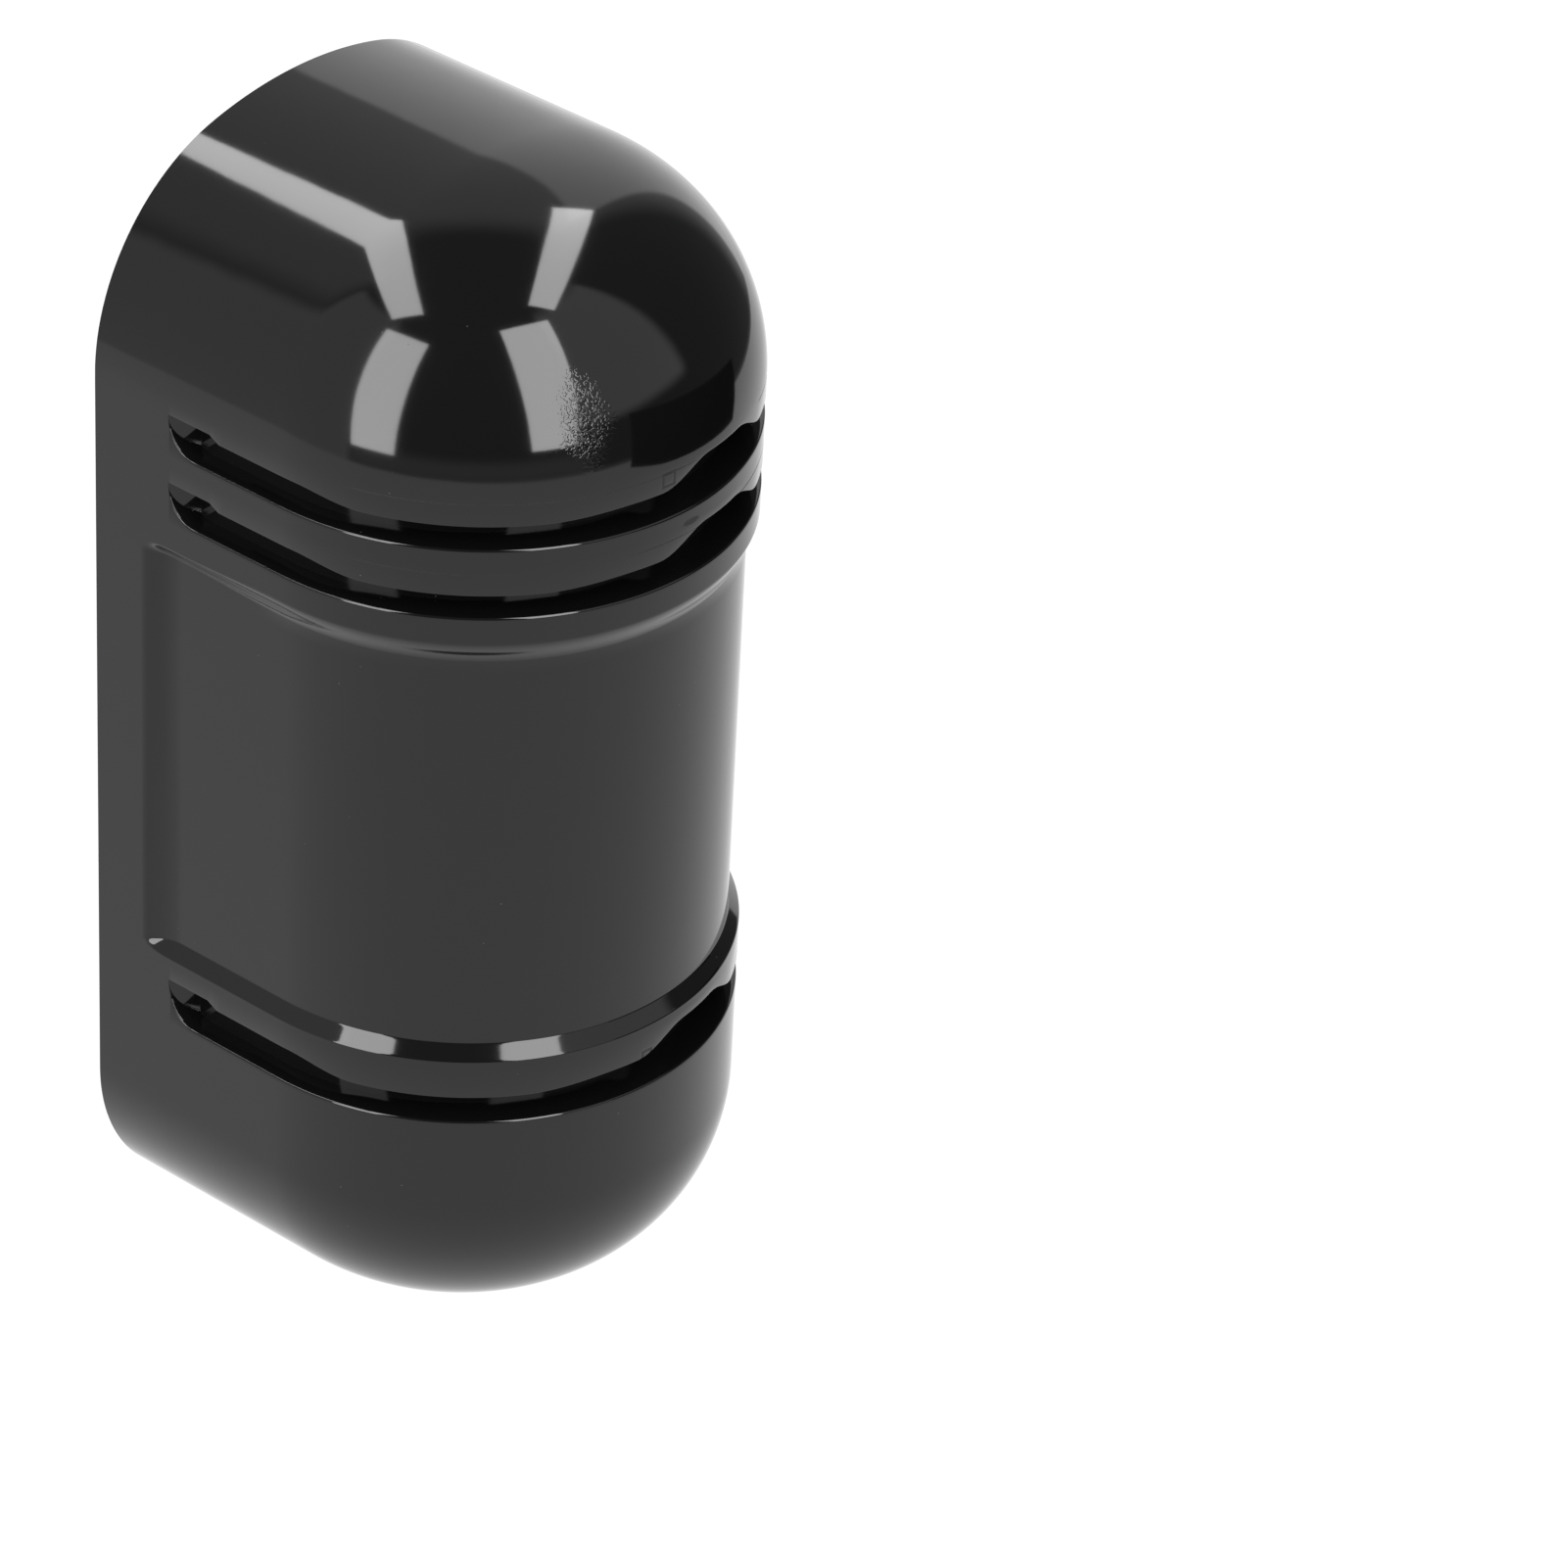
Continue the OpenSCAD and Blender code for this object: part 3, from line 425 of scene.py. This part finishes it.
class Shader(Nodes):
    """A material on the Principled shader. Positions are in the part's own frame."""

    def __init__(self, name, rough=0.5, metal=0.0, ior=1.5, specular=0.5):
        self.mat = bpy.data.materials.new(name)
        self.mat.use_nodes = True
        super().__init__(self.mat.node_tree)
        self.bsdf = self.nodes["Principled BSDF"]
        self.set("Roughness", rough)
        self.set("Metallic", metal)
        self.set("IOR", ior)
        self.set("Specular IOR Level", specular)
        self.place = self.nodes.new("ShaderNodeTexCoord").outputs["Object"]
        self.normal = None

    def set(self, socket, value):
        """Gives an input of the shader a number, a colour or the output of a node."""
        self.feed(self.bsdf.inputs[socket], value)

    def noise(self, size, detail=2.0, stretch=None):
        """Noise whose patches are about size metres across."""
        node = self.nodes.new("ShaderNodeTexNoise")
        place = self.vector("MULTIPLY", self.place, stretch)["Vector"] if stretch else self.place
        self.feed(node.inputs["Vector"], place)
        self.feed(node.inputs["Scale"], 0.5 / size)
        self.feed(node.inputs["Detail"], detail)
        return node.outputs["Fac"]

    def cells(self, size):
        """Distance from the middle of the nearest cell, as a share of the cells' size."""
        node = self.nodes.new("ShaderNodeTexVoronoi")
        self.feed(node.inputs["Vector"], self.place)
        self.feed(node.inputs["Scale"], 1 / size)
        return node.outputs["Distance"]

    def axis(self, letter):
        """The position along X, Y or Z."""
        node = self.nodes.new("ShaderNodeSeparateXYZ")
        self.feed(node.inputs[0], self.place)
        return node.outputs["XYZ".index(letter)]

    def distance(self, point, scale):
        """Distance from a point, with each axis stretched by scale."""
        away = self.vector("SUBTRACT", self.place, point)["Vector"]
        return self.vector("LENGTH", self.vector("MULTIPLY", away, scale)["Vector"])["Value"]

    def mix(self, amount, a, b):
        """Colour a where the amount is 0 and colour b where it is 1."""
        node = self.nodes.new("ShaderNodeMix")
        node.data_type = "RGBA"
        for index, v in ((0, amount), (6, a), (7, b)):
            self.feed(node.inputs[index], v)
        return node.outputs[2]

    def edges(self, radius, rounded=True):
        """Gives 1 along sharp edges and 0 elsewhere, and can round their look as well."""
        bevel = self.nodes.new("ShaderNodeBevel")
        bevel.samples = 4
        self.feed(bevel.inputs["Radius"], radius)
        geometry = self.nodes.new("ShaderNodeNewGeometry")
        agree = self.vector("DOT_PRODUCT", bevel.outputs[0], geometry.outputs["Normal"])["Value"]
        if rounded:
            self.normal = bevel.outputs[0]
        return self.ramp(agree, 0.995, 0.9)

    def bump(self, height, distance):
        """Adds relief to the surface: distance is how far it rises where the height is 1."""
        node = self.nodes.new("ShaderNodeBump")
        self.feed(node.inputs["Strength"], 1.0)
        self.feed(node.inputs["Distance"], distance)
        self.feed(node.inputs["Height"], height)
        self.feed(node.inputs["Normal"], self.normal)
        self.normal = node.outputs[0]
        self.set("Normal", self.normal)


def tint(color, factor):
    """A colour made lighter or darker."""
    return tuple(min(c * factor, 1.0) for c in color)


def moulded(name, color, rough, grain=0.35 * MM, depth=0.012 * MM, wear=0.35):
    """Moulded plastic: fine spark-eroded grain, uneven tone, and edges rubbed a little lighter."""
    look = Shader(name)
    worn = look.edges(0.18 * MM)
    patches = look.noise(9 * MM, 3)
    fine = look.noise(grain, 3)
    base = look.mix(patches, tint(color, 0.82), tint(color, 1.2))
    rubbed = look.math("MULTIPLY", worn, look.ramp(look.noise(2.5 * MM), 0.4, 0.65, 0, wear))
    pale = tuple(c * 1.6 + 0.03 for c in color)
    look.set("Base Color", look.mix(rubbed, base, pale))
    uneven = look.math("ADD", look.ramp(patches, 0.3, 0.7, rough - 0.06, rough + 0.07),
                       look.ramp(fine, 0.3, 0.7, -0.03, 0.03))
    look.set("Roughness", uneven)
    look.bump(fine, depth)
    return look.mat


def rubber(name, color, cell):
    """Closed-cell rubber: small pits, chalky bloom."""
    look = Shader(name, specular=0.3)
    look.edges(0.2 * MM)
    pits = look.cells(cell)
    bloom = look.ramp(look.noise(3 * MM, 4), 0.45, 0.75)
    look.set("Base Color", look.mix(bloom, color, tuple(c * 1.5 + 0.02 for c in color)))
    look.set("Roughness", look.ramp(bloom, 0, 1, 0.72, 0.9))
    look.bump(look.ramp(pits, 0.1, 0.45), 0.04 * MM)
    return look.mat


def plated(name, color, rough, brush=(1, 1, 1), spangle=0.0):
    """Plated or bare metal: fine drawn lines, handling scratches, dulled patches, bright edges."""
    look = Shader(name, metal=1.0)
    worn = look.edges(0.12 * MM)
    lines = look.noise(0.12 * MM, 2, brush)
    dull = look.noise(4 * MM, 4)
    base = look.mix(dull, tint(color, 0.8), tint(color, 1.1))
    if spangle:
        flakes = look.ramp(look.cells(spangle), 0.0, 0.7)
        base = look.mix(flakes, base, tint(color, 0.72))
    look.set("Base Color", look.mix(look.math("MULTIPLY", worn, 0.6), base, tint(color, 1.25)))
    scratch = look.ramp(look.noise(0.35 * MM, 1, (1, 1, 12)), 0.62, 0.68)
    spread = look.math("ADD", look.ramp(dull, 0.3, 0.7, rough - 0.07, rough + 0.1),
                       look.math("MULTIPLY", scratch, 0.12))
    look.set("Roughness", spread)
    look.bump(look.math("ADD", lines, scratch), 0.006 * MM)
    return look.mat


LENS_RINGS = 0.9 * MM                   # pitch of the tool rings on a lens


def clear(name, color, centre=None):
    """Clear tinted plastic with faint moulding flow, and tool rings round a lens's centre."""
    look = Shader(name, ior=1.49)
    look.set("Transmission Weight", 1.0)
    flow = look.noise(5 * MM, 3)
    look.set("Base Color", look.mix(flow, tint(color, 0.88), tint(color, 1.1)))
    look.set("Roughness", look.ramp(flow, 0.3, 0.7, 0.04, 0.09))
    height = flow
    if centre:
        turns = look.math("MULTIPLY", look.distance(centre, (1, 0, 1)), 2 * math.pi / LENS_RINGS)
        height = look.math("ADD", flow, look.math("MULTIPLY", look.math("SINE", turns), 0.15))
    look.bump(height, 0.03 * MM)
    return look.mat


def mirror():
    """Silvered glass with dust and haze."""
    look = Shader("silvered_glass", metal=1.0)
    dust = look.ramp(look.cells(0.8 * MM), 0.03, 0.09, 1, 0)
    haze = look.noise(4 * MM, 3)
    look.set("Base Color", look.mix(dust, (0.86, 0.88, 0.9), (0.5, 0.5, 0.48)))
    look.set("Roughness", look.math("ADD", look.ramp(haze, 0.4, 0.7, 0.02, 0.12),
                                    look.math("MULTIPLY", dust, 0.4)))
    look.bump(haze, 0.01 * MM)
    return look.mat


BOARD_PITCH = 2.54 * MM


def laminate():
    """Printed board: solder mask over raised copper tracks, and bare pads."""
    look = Shader("solder_mask")
    look.edges(0.1 * MM)
    x, z = look.axis("X"), look.axis("Z")

    def near_line(value, width, shift=0.0):
        """1 near the lines of a grid of half the pitch."""
        steps = look.math("ADD", look.math("DIVIDE", value, BOARD_PITCH / 2), shift)
        away = look.math("ABSOLUTE", look.math("SUBTRACT", look.math("FRACT", steps), 0.5))
        return look.math("LESS_THAN", away, width)

    blocks = look.noise(6 * MM, 0)
    across = look.math("MULTIPLY", near_line(z, 0.17), look.math("GREATER_THAN", blocks, 0.52))
    upright = look.math("MULTIPLY", near_line(x, 0.17), look.math("LESS_THAN", blocks, 0.46))
    tracks = look.math("MAXIMUM", across, upright)
    crossings = look.math("MULTIPLY", near_line(x, 0.26, 0.25), near_line(z, 0.26, 0.25))
    pads = look.math("MULTIPLY", crossings, look.math("GREATER_THAN", look.noise(3.2 * MM, 0), 0.62))
    green = look.mix(tracks, (0.006, 0.06, 0.025), (0.012, 0.14, 0.05))
    mask = look.mix(look.noise(7 * MM, 3), green, (0.01, 0.09, 0.036))
    look.set("Base Color", look.mix(pads, mask, (0.62, 0.6, 0.54)))
    look.set("Metallic", pads)
    look.set("Roughness", look.math("ADD", look.ramp(look.noise(2 * MM, 3), 0.3, 0.7, 0.24, 0.34),
                                    look.math("MULTIPLY", pads, 0.08)))
    look.bump(look.math("MAXIMUM", tracks, pads), 0.035 * MM)
    return look.mat


def capacitor():
    """Blue sleeve with a pale stripe down one side, and a stamped aluminium top."""
    low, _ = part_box("capacitors")
    look = Shader("capacitor_sleeve")
    look.edges(0.25 * MM)
    top = look.ramp(look.axis("Y"), low.y + 0.05 * MM, low.y + 0.12 * MM, 1, 0)
    stripe = look.ramp(look.axis("X"), low.x + 1.0 * MM, low.x + 1.1 * MM, 1, 0)
    tone = look.noise(2 * MM, 3)
    blue = look.mix(tone, (0.012, 0.022, 0.07), (0.02, 0.036, 0.1))
    sleeve = look.mix(stripe, blue, (0.5, 0.52, 0.56))
    look.set("Base Color", look.mix(top, sleeve, look.mix(tone, (0.6, 0.6, 0.61), (0.74, 0.74, 0.75))))
    look.set("Metallic", top)
    look.set("Roughness", look.math("ADD", look.ramp(tone, 0.3, 0.7, 0.22, 0.32),
                                    look.math("MULTIPLY", top, 0.12)))
    look.bump(look.noise(0.3 * MM, 3), 0.01 * MM)
    return look.mat


def indicators():
    """Three diffused LEDs of different colours, told apart by their place."""
    low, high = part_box("status_leds")
    look = Shader("diffused_led", ior=1.49)
    third = (high.x - low.x) / 3
    x = look.axis("X")
    tone = look.noise(0.8 * MM, 3)
    green = look.mix(tone, (0.02, 0.26, 0.03), (0.05, 0.4, 0.06))
    amber = look.mix(tone, (0.5, 0.28, 0.02), (0.66, 0.4, 0.05))
    red = look.mix(tone, (0.42, 0.02, 0.015), (0.58, 0.05, 0.03))
    past_first = look.math("GREATER_THAN", x, low.x + third)
    past_second = look.math("GREATER_THAN", x, low.x + 2 * third)
    look.set("Base Color", look.mix(past_second, look.mix(past_first, green, amber), red))
    look.set("Transmission Weight", 0.35)
    look.set("Subsurface Weight", 0.2)
    look.set("Roughness", look.ramp(tone, 0.3, 0.7, 0.16, 0.26))
    look.bump(tone, 0.006 * MM)
    return look.mat


COVER_BLACK = (0.0028, 0.0028, 0.0030)
RUBBED_BLACK = (0.009, 0.009, 0.009)
DUST_GREY = (0.2, 0.2, 0.2)
PARTING_LINES = (TOP - 30.3 * MM, TOP - 40.8 * MM)      # heights of the fine lines round two of the fins
# Squares left by mould inserts: place across, height and size
SQUARE_MARKS = [(-5.4 * MM, TOP - 31.1 * MM, 1.9 * MM), (-4.9 * MM, BOTTOM + 48.5 * MM, 1.5 * MM)]
DENT_AT = (HALF_W * -0.024, COVER_LOW.y, TOP - 39.3 * MM)           # a small dent beside the notch
SPECKLE_AT = (HALF_W * -0.415, AXIS_Y - 32 * MM, TOP - 20 * MM)     # a speckled patch on the crown


def thin_line(look, value, level, half):
    """1 within half of a level and 0 outside it."""
    away = look.math("ABSOLUTE", look.math("SUBTRACT", value, level))
    return look.ramp(away, half * 0.5, half, 1, 0)


def square_mark(look, across, height, size):
    """The outline of a small square left by a mould insert."""
    dx = look.math("ABSOLUTE", look.math("SUBTRACT", look.axis("X"), across))
    dz = look.math("ABSOLUTE", look.math("SUBTRACT", look.axis("Z"), height))
    return thin_line(look, look.math("MAXIMUM", dx, dz), size / 2, 0.3 * MM)


def cover_marks(look):
    """Masks of all the moulding marks on the front, and of the squares alone."""
    forward = look.ramp(look.axis("Y"), AXIS_Y - 8 * MM, AXIS_Y - 14 * MM)
    z = look.axis("Z")
    lines = look.math("MAXIMUM", *[thin_line(look, z, level, 0.14 * MM) for level in PARTING_LINES])
    lines = look.math("MULTIPLY", lines, look.ramp(look.noise(5 * MM, 2), 0.36, 0.5))
    squares = look.math("MAXIMUM", *[square_mark(look, *mark) for mark in SQUARE_MARKS])
    dent = look.ramp(look.distance(DENT_AT, (0.32, 0.1, 1)), 0.4 * MM, 0.62 * MM, 1, 0)
    marks = look.math("MAXIMUM", lines, look.math("MAXIMUM", squares, dent))
    return look.math("MULTIPLY", forward, marks), squares


def gloss_black():
    """The cover's high-gloss black: slight waviness and orange peel, dust, and a few fine marks."""
    look = Shader("gloss_black", ior=1.447)
    marks, squares = cover_marks(look)
    patch = look.ramp(look.distance(SPECKLE_AT, (1.2, 0.9, 0.68)), 2.0 * MM, 5.2 * MM, 1, 0)
    stipple = look.math("MULTIPLY", patch, look.ramp(look.noise(0.22 * MM, 1), 0.46, 0.58))
    dust = look.math("MULTIPLY", look.ramp(look.cells(2.6 * MM), 0.02, 0.035, 1, 0),
                     look.ramp(look.noise(14 * MM, 1), 0.52, 0.57))
    worn = look.edges(0.15 * MM, rounded=False)
    rubbed = look.mix(look.math("MULTIPLY", worn, 0.6), COVER_BLACK, RUBBED_BLACK)
    look.set("Base Color", look.mix(look.math("MULTIPLY", dust, 0.35), rubbed, DUST_GREY))
    # smears, and what each of the others adds to them
    rough = look.ramp(look.noise(13 * MM, 3, (1, 1, 0.6)), 0.35, 0.7, 0.055, 0.085)
    for mask, added in ((dust, 0.4), (worn, 0.04), (marks, 0.5), (stipple, 0.08)):
        rough = look.math("ADD", rough, look.math("MULTIPLY", mask, added))
    look.set("Roughness", rough)
    look.bump(look.noise(9 * MM, 2), 0.036 * MM)
    look.bump(look.noise(1.1 * MM, 1), 0.0012 * MM)
    look.bump(stipple, 0.024 * MM)
    look.bump(squares, -0.02 * MM)
    return look.mat


def lens_centre(node):
    """A point on the axis of a lens."""
    low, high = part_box(node)
    return ((low.x + high.x) / 2, 0, (low.z + high.z) / 2)


def finishes():
    """A material for every CAD node that stays in view, by node."""
    screw = plated("zinc_plated_screw", (0.62, 0.63, 0.65), 0.26)
    case_black = moulded("chassis_black", (0.014, 0.014, 0.015), 0.52, 0.45 * MM, 0.02 * MM)
    head_black = moulded("head_black", (0.01, 0.01, 0.011), 0.34, 0.25 * MM, 0.008 * MM)
    bezel = moulded("bezel_black", (0.02, 0.02, 0.021), 0.28, 0.2 * MM, 0.004 * MM)
    board = laminate()
    chip = moulded("chip_epoxy", (0.012, 0.012, 0.012), 0.46, 0.15 * MM, 0.006 * MM, 0.15)
    ivory = moulded("ivory_plastic", (0.66, 0.64, 0.57), 0.36, 0.3 * MM, 0.006 * MM, 0.1)
    white = moulded("rotor_white", (0.7, 0.69, 0.64), 0.35, 0.2 * MM, 0.005 * MM, 0.1)
    brass = plated("turned_brass", (0.72, 0.5, 0.22), 0.24, (1, 6, 1))
    epoxy = clear("clear_epoxy", (0.72, 0.66, 0.86))
    lens_tint = (0.32, 0.28, 0.38)
    looks = {
        "wall_plate": plated("galvanised_steel", (0.56, 0.58, 0.6), 0.36, (1, 1, 0.08), 3.2 * MM),
        "chassis": case_black,
        "swivel_shelf": case_black,
        "cover_seal": rubber("foam_seal", (0.016, 0.016, 0.017), 0.6 * MM),
        "cable_grommet": rubber("grommet_rubber", (0.012, 0.012, 0.012), 0.35 * MM),
        "turntable_yoke": moulded("yoke_black", (0.018, 0.018, 0.02), 0.4),
        "head_housing": head_black,
        "head_back_cover": head_black,
        "sight_cap": head_black,
        "upper_bezel": bezel,
        "lower_bezel": bezel,
        "light_shields": moulded("baffle_black", (0.006, 0.006, 0.006), 0.75, 0.3 * MM, 0.02 * MM, 0.0),
        "upper_lens": clear("upper_lens_tint", lens_tint, lens_centre("upper_lens")),
        "lower_lens": clear("lower_lens_tint", lens_tint, lens_centre("lower_lens")),
        "upper_diode": epoxy,
        "lower_diode": epoxy,
        "sight_mirror": mirror(),
        "relay": moulded("relay_case", (0.72, 0.71, 0.66), 0.34, 0.4 * MM, 0.006 * MM, 0.1),
        "capacitors": capacitor(),
        "status_leds": indicators(),
        "test_jack": ivory,
        "tamper_plunger": ivory,
        "tamper_switch": chip,
        "main_board_parts": chip,
        "dip_switch_body": moulded("switch_red", (0.34, 0.014, 0.012), 0.38, 0.3 * MM, 0.008 * MM),
        "trimmer_body": moulded("trimmer_blue", (0.014, 0.08, 0.42), 0.3, 0.3 * MM, 0.006 * MM),
        "trimmer_rotor": white,
        "terminal_block": moulded("terminal_green", (0.02, 0.16, 0.05), 0.42, 0.4 * MM, 0.01 * MM),
        "tilt_screw_clip": plated("sprung_steel", (0.2, 0.2, 0.21), 0.3),
        "cover_clamp_nut": brass,
        "tilt_nut": brass,
        "terminal_clamps": brass,
    }
    looks.update({"dip_slider_%d" % i: white for i in range(1, 5)})
    looks.update({name: board for name in NODES if name.endswith("_board")})
    # the screws, pins and washers that are left
    looks.update({name: screw for name in NODES if name not in looks and name != "cover"})
    return looks


def dress_nodes():
    """Gives every CAD node that stays in view its material."""
    for name, mat in finishes().items():
        slots = NODES[name].material_slots
        if not slots:
            NODES[name].data.materials.append(mat)
        for slot in slots:
            slot.material = mat


# ---- Scene ----

# The photograph's view, fitted to the cover's outline, its grooves and its window
CAMERA_AZIMUTH, CAMERA_ELEVATION, CAMERA_ROLL = -51.8965, 33.5913, 3.1718
CAMERA_AIM = Vector((0, -0.8 * HALF_W, BOTTOM + 2.0 * HALF_W))
CAMERA_ACROSS, CAMERA_UP = 1.20670 * HALF_W, -0.10659 * HALF_W      # shift of the view's middle
CAMERA_DISTANCE = 26.19 * HALF_W
SENSOR_MM, LENS_MM = 36, 167.1531

SOFTBOX_DISTANCE = 2.6
SOFTBOX_RADIANCE = 7.3
# Softboxes: the directions (azimuth, elevation) of their two ends, and their width in degrees
SOFTBOXES = {
    "softbox_left": ((-87.5, -6), (-89, 50), 19),
    "softbox_front": ((-19, 0), (-17.5, 60), 20),
    "softbox_overhead_left": ((165, 52), (-98, 58), 12.5),
    "softbox_overhead_right": ((4, 64.5), (108, 46.8), 9.8),
}

# Flats of the studio round the object: azimuths, elevations, edge softness, brightness, and how
# much the upper edge falls per degree of azimuth
STUDIO = [
    ((-135, -98), (-18, 53), 2.0, 0.62, 0),
    ((-7, 42), (6, 63), 3.0, 0.80, 0),
    ((104, 150), (-16, 52.7), 1.2, 0.74, 0.81),
    ((-98, -5), (-16, -6), 4.0, 0.28, 0),
    ((100, 190), (-16, 60), 7.0, 0.44, 0),
    ((-190, -138), (-16, 60), 7.0, 0.44, 0),
]
STUDIO_DARK = 0.10                      # brightness between the flats
STUDIO_FLOOR = (-20, -14)               # elevations over which the studio's lit floor ends

FLOOR_R = 0.55
FLOOR_Z = BOTTOM - 2 * MM
FLOOR_LIGHT = 1.0
# A black card stands on the floor at the front right: azimuth, distance and top of its two ends
CARD_ENDS = [(9, 0.48, 0.10), (59, 0.35, 0.015)]


def build_cover():
    """The detailed shell, in the place of the CAD's plain cover."""
    obj = new_object("cover_shell", cover_mesh(), gloss_black(), "cover")
    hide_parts("cover")


def direction(azimuth, elevation):
    """Unit vector away from the object: azimuth 0 is towards -Y and 90 towards +X."""
    a, e = math.radians(azimuth), math.radians(elevation)
    return Vector((math.sin(a) * math.cos(e), -math.cos(a) * math.cos(e), math.sin(e)))


def set_up(obj, x, y, z, place):
    """Turns an object's axes to x, y and z, and puts it in its place."""
    m = Matrix((x, y, z)).transposed().to_4x4()
    m.translation = place
    obj.matrix_world = m


def camera():
    """A long lens from the photograph's point of view."""
    az, roll = math.radians(CAMERA_AZIMUTH), math.radians(CAMERA_ROLL)
    back = direction(CAMERA_AZIMUTH, CAMERA_ELEVATION)
    level = Vector((math.cos(az), math.sin(az), 0))
    upright = back.cross(level)
    right = math.cos(roll) * level + math.sin(roll) * upright
    up = -math.sin(roll) * level + math.cos(roll) * upright
    cam = bpy.data.cameras.new("camera")
    cam.sensor_width = SENSOR_MM
    cam.lens = LENS_MM
    cam.clip_start, cam.clip_end = 0.01, 20
    obj = link("camera", cam)
    place = CAMERA_AIM + CAMERA_ACROSS * right + CAMERA_UP * up + CAMERA_DISTANCE * back
    set_up(obj, right, up, back, place)
    bpy.context.scene.camera = obj


def softbox(name, start, end, width_deg):
    """A long rectangular softbox that runs from one direction to another, facing the object."""
    a, b = direction(*start), direction(*end)
    middle = (a + b).normalized()
    pa, pb = (v * SOFTBOX_DISTANCE / v.dot(middle) for v in (a, b))
    centre = (pa + pb) / 2
    z = centre.normalized()
    x = (pb - pa).normalized()
    x = (x - z * x.dot(z)).normalized()
    light = bpy.data.lights.new(name, "AREA")
    light.shape = "RECTANGLE"
    light.size = (pb - pa).length
    light.size_y = 2 * centre.length * math.tan(math.radians(width_deg / 2))
    light.energy = 4 * SOFTBOX_RADIANCE * light.size * light.size_y
    obj = link(name, light)
    set_up(obj, x, z.cross(x), z, centre)
    obj.visible_camera = False


def studio_light(m, az, el):
    """Brightness of the studio in a direction: the lit floor, the dark room and the grey flats."""
    def within(value, low, high, soft):
        rise = m.ramp(value, low - soft, low + soft, soft=True)
        return m.math("MULTIPLY", rise, m.ramp(value, high - soft, high + soft, 1, 0, soft=True))

    below = m.ramp(el, *STUDIO_FLOOR, 1, 0, soft=True)
    light = m.math("ADD", m.math("MULTIPLY", below, FLOOR_LIGHT - STUDIO_DARK), STUDIO_DARK)
    for azs, els, soft, level, fall in STUDIO:
        past = m.math("MAXIMUM", m.math("SUBTRACT", az, azs[0]), 0)
        height = m.math("ADD", el, m.math("MULTIPLY", past, fall))
        flat = m.math("MULTIPLY", within(az, *azs, soft), within(height, *els, soft))
        light = m.math("ADD", light, m.math("MULTIPLY", flat, level))
    return light


def world():
    """White for what the camera sees directly, and a dim studio with grey flats for reflections."""
    w = bpy.data.worlds.new("studio")
    bpy.context.scene.world = w
    w.use_nodes = True
    tree = w.node_tree
    tree.nodes.clear()
    m = Nodes(tree)
    coord = tree.nodes.new("ShaderNodeTexCoord")
    split = tree.nodes.new("ShaderNodeSeparateXYZ")
    m.feed(split.inputs[0], coord.outputs["Generated"])
    to_deg = 180 / math.pi
    turn = m.math("ARCTAN2", split.outputs[0], m.math("MULTIPLY", split.outputs[1], -1))
    az = m.math("MULTIPLY", turn, to_deg)
    el = m.math("MULTIPLY", m.math("ARCSINE", split.outputs[2]), to_deg)
    path = tree.nodes.new("ShaderNodeLightPath")
    seen = tree.nodes.new("ShaderNodeMix")
    m.feed(seen.inputs[0], path.outputs["Is Camera Ray"])
    m.feed(seen.inputs[2], studio_light(m, az, el))
    m.feed(seen.inputs[3], 1.0)
    back = tree.nodes.new("ShaderNodeBackground")
    m.feed(back.inputs["Color"], (1, 1, 1))
    m.feed(back.inputs["Strength"], seen.outputs[0])
    out = tree.nodes.new("ShaderNodeOutputWorld")
    m.feed(out.inputs[0], back.outputs[0])


def lights():
    """The four softboxes."""
    for name, place in SOFTBOXES.items():
        softbox(name, *place)


def black_card():
    """Shows in the cover as a dark four-sided patch. The camera doesn't see the card itself."""
    foot, head = [], []
    for az, far, top in CARD_ENDS:
        x, y = far * math.sin(math.radians(az)), -far * math.cos(math.radians(az))
        foot.append((x, y, FLOOR_Z))
        head.append((x, y, top))
    mesh = bpy.data.meshes.new("black_card")
    mesh.from_pydata(foot + head[::-1], [], [(0, 1, 2, 3)])
    look = Shader("card_black", rough=0.9, specular=0.0)
    look.set("Base Color", (0, 0, 0))
    mesh.materials.append(look.mat)
    obj = link("black_card", mesh)
    obj.visible_camera = False


def floor():
    """A plain white floor just under the unit, lit evenly as in a studio."""
    bm = bmesh.new()
    bmesh.ops.create_circle(bm, cap_ends=True, segments=96, radius=FLOOR_R)
    mesh = bpy.data.meshes.new("floor")
    bm.to_mesh(mesh)
    bm.free()
    look = Shader("floor_white", rough=0.9, specular=0.0)
    look.set("Base Color", (0.02, 0.02, 0.02))
    look.set("Emission Color", (1, 1, 1))
    look.set("Emission Strength", FLOOR_LIGHT)
    mesh.materials.append(look.mat)
    obj = link("floor", mesh)
    obj.location = (0, 0, FLOOR_Z)


build_cover()
dress_nodes()
camera()
world()
lights()
floor()
black_card()
bpy.context.scene.view_settings.view_transform = "Standard"
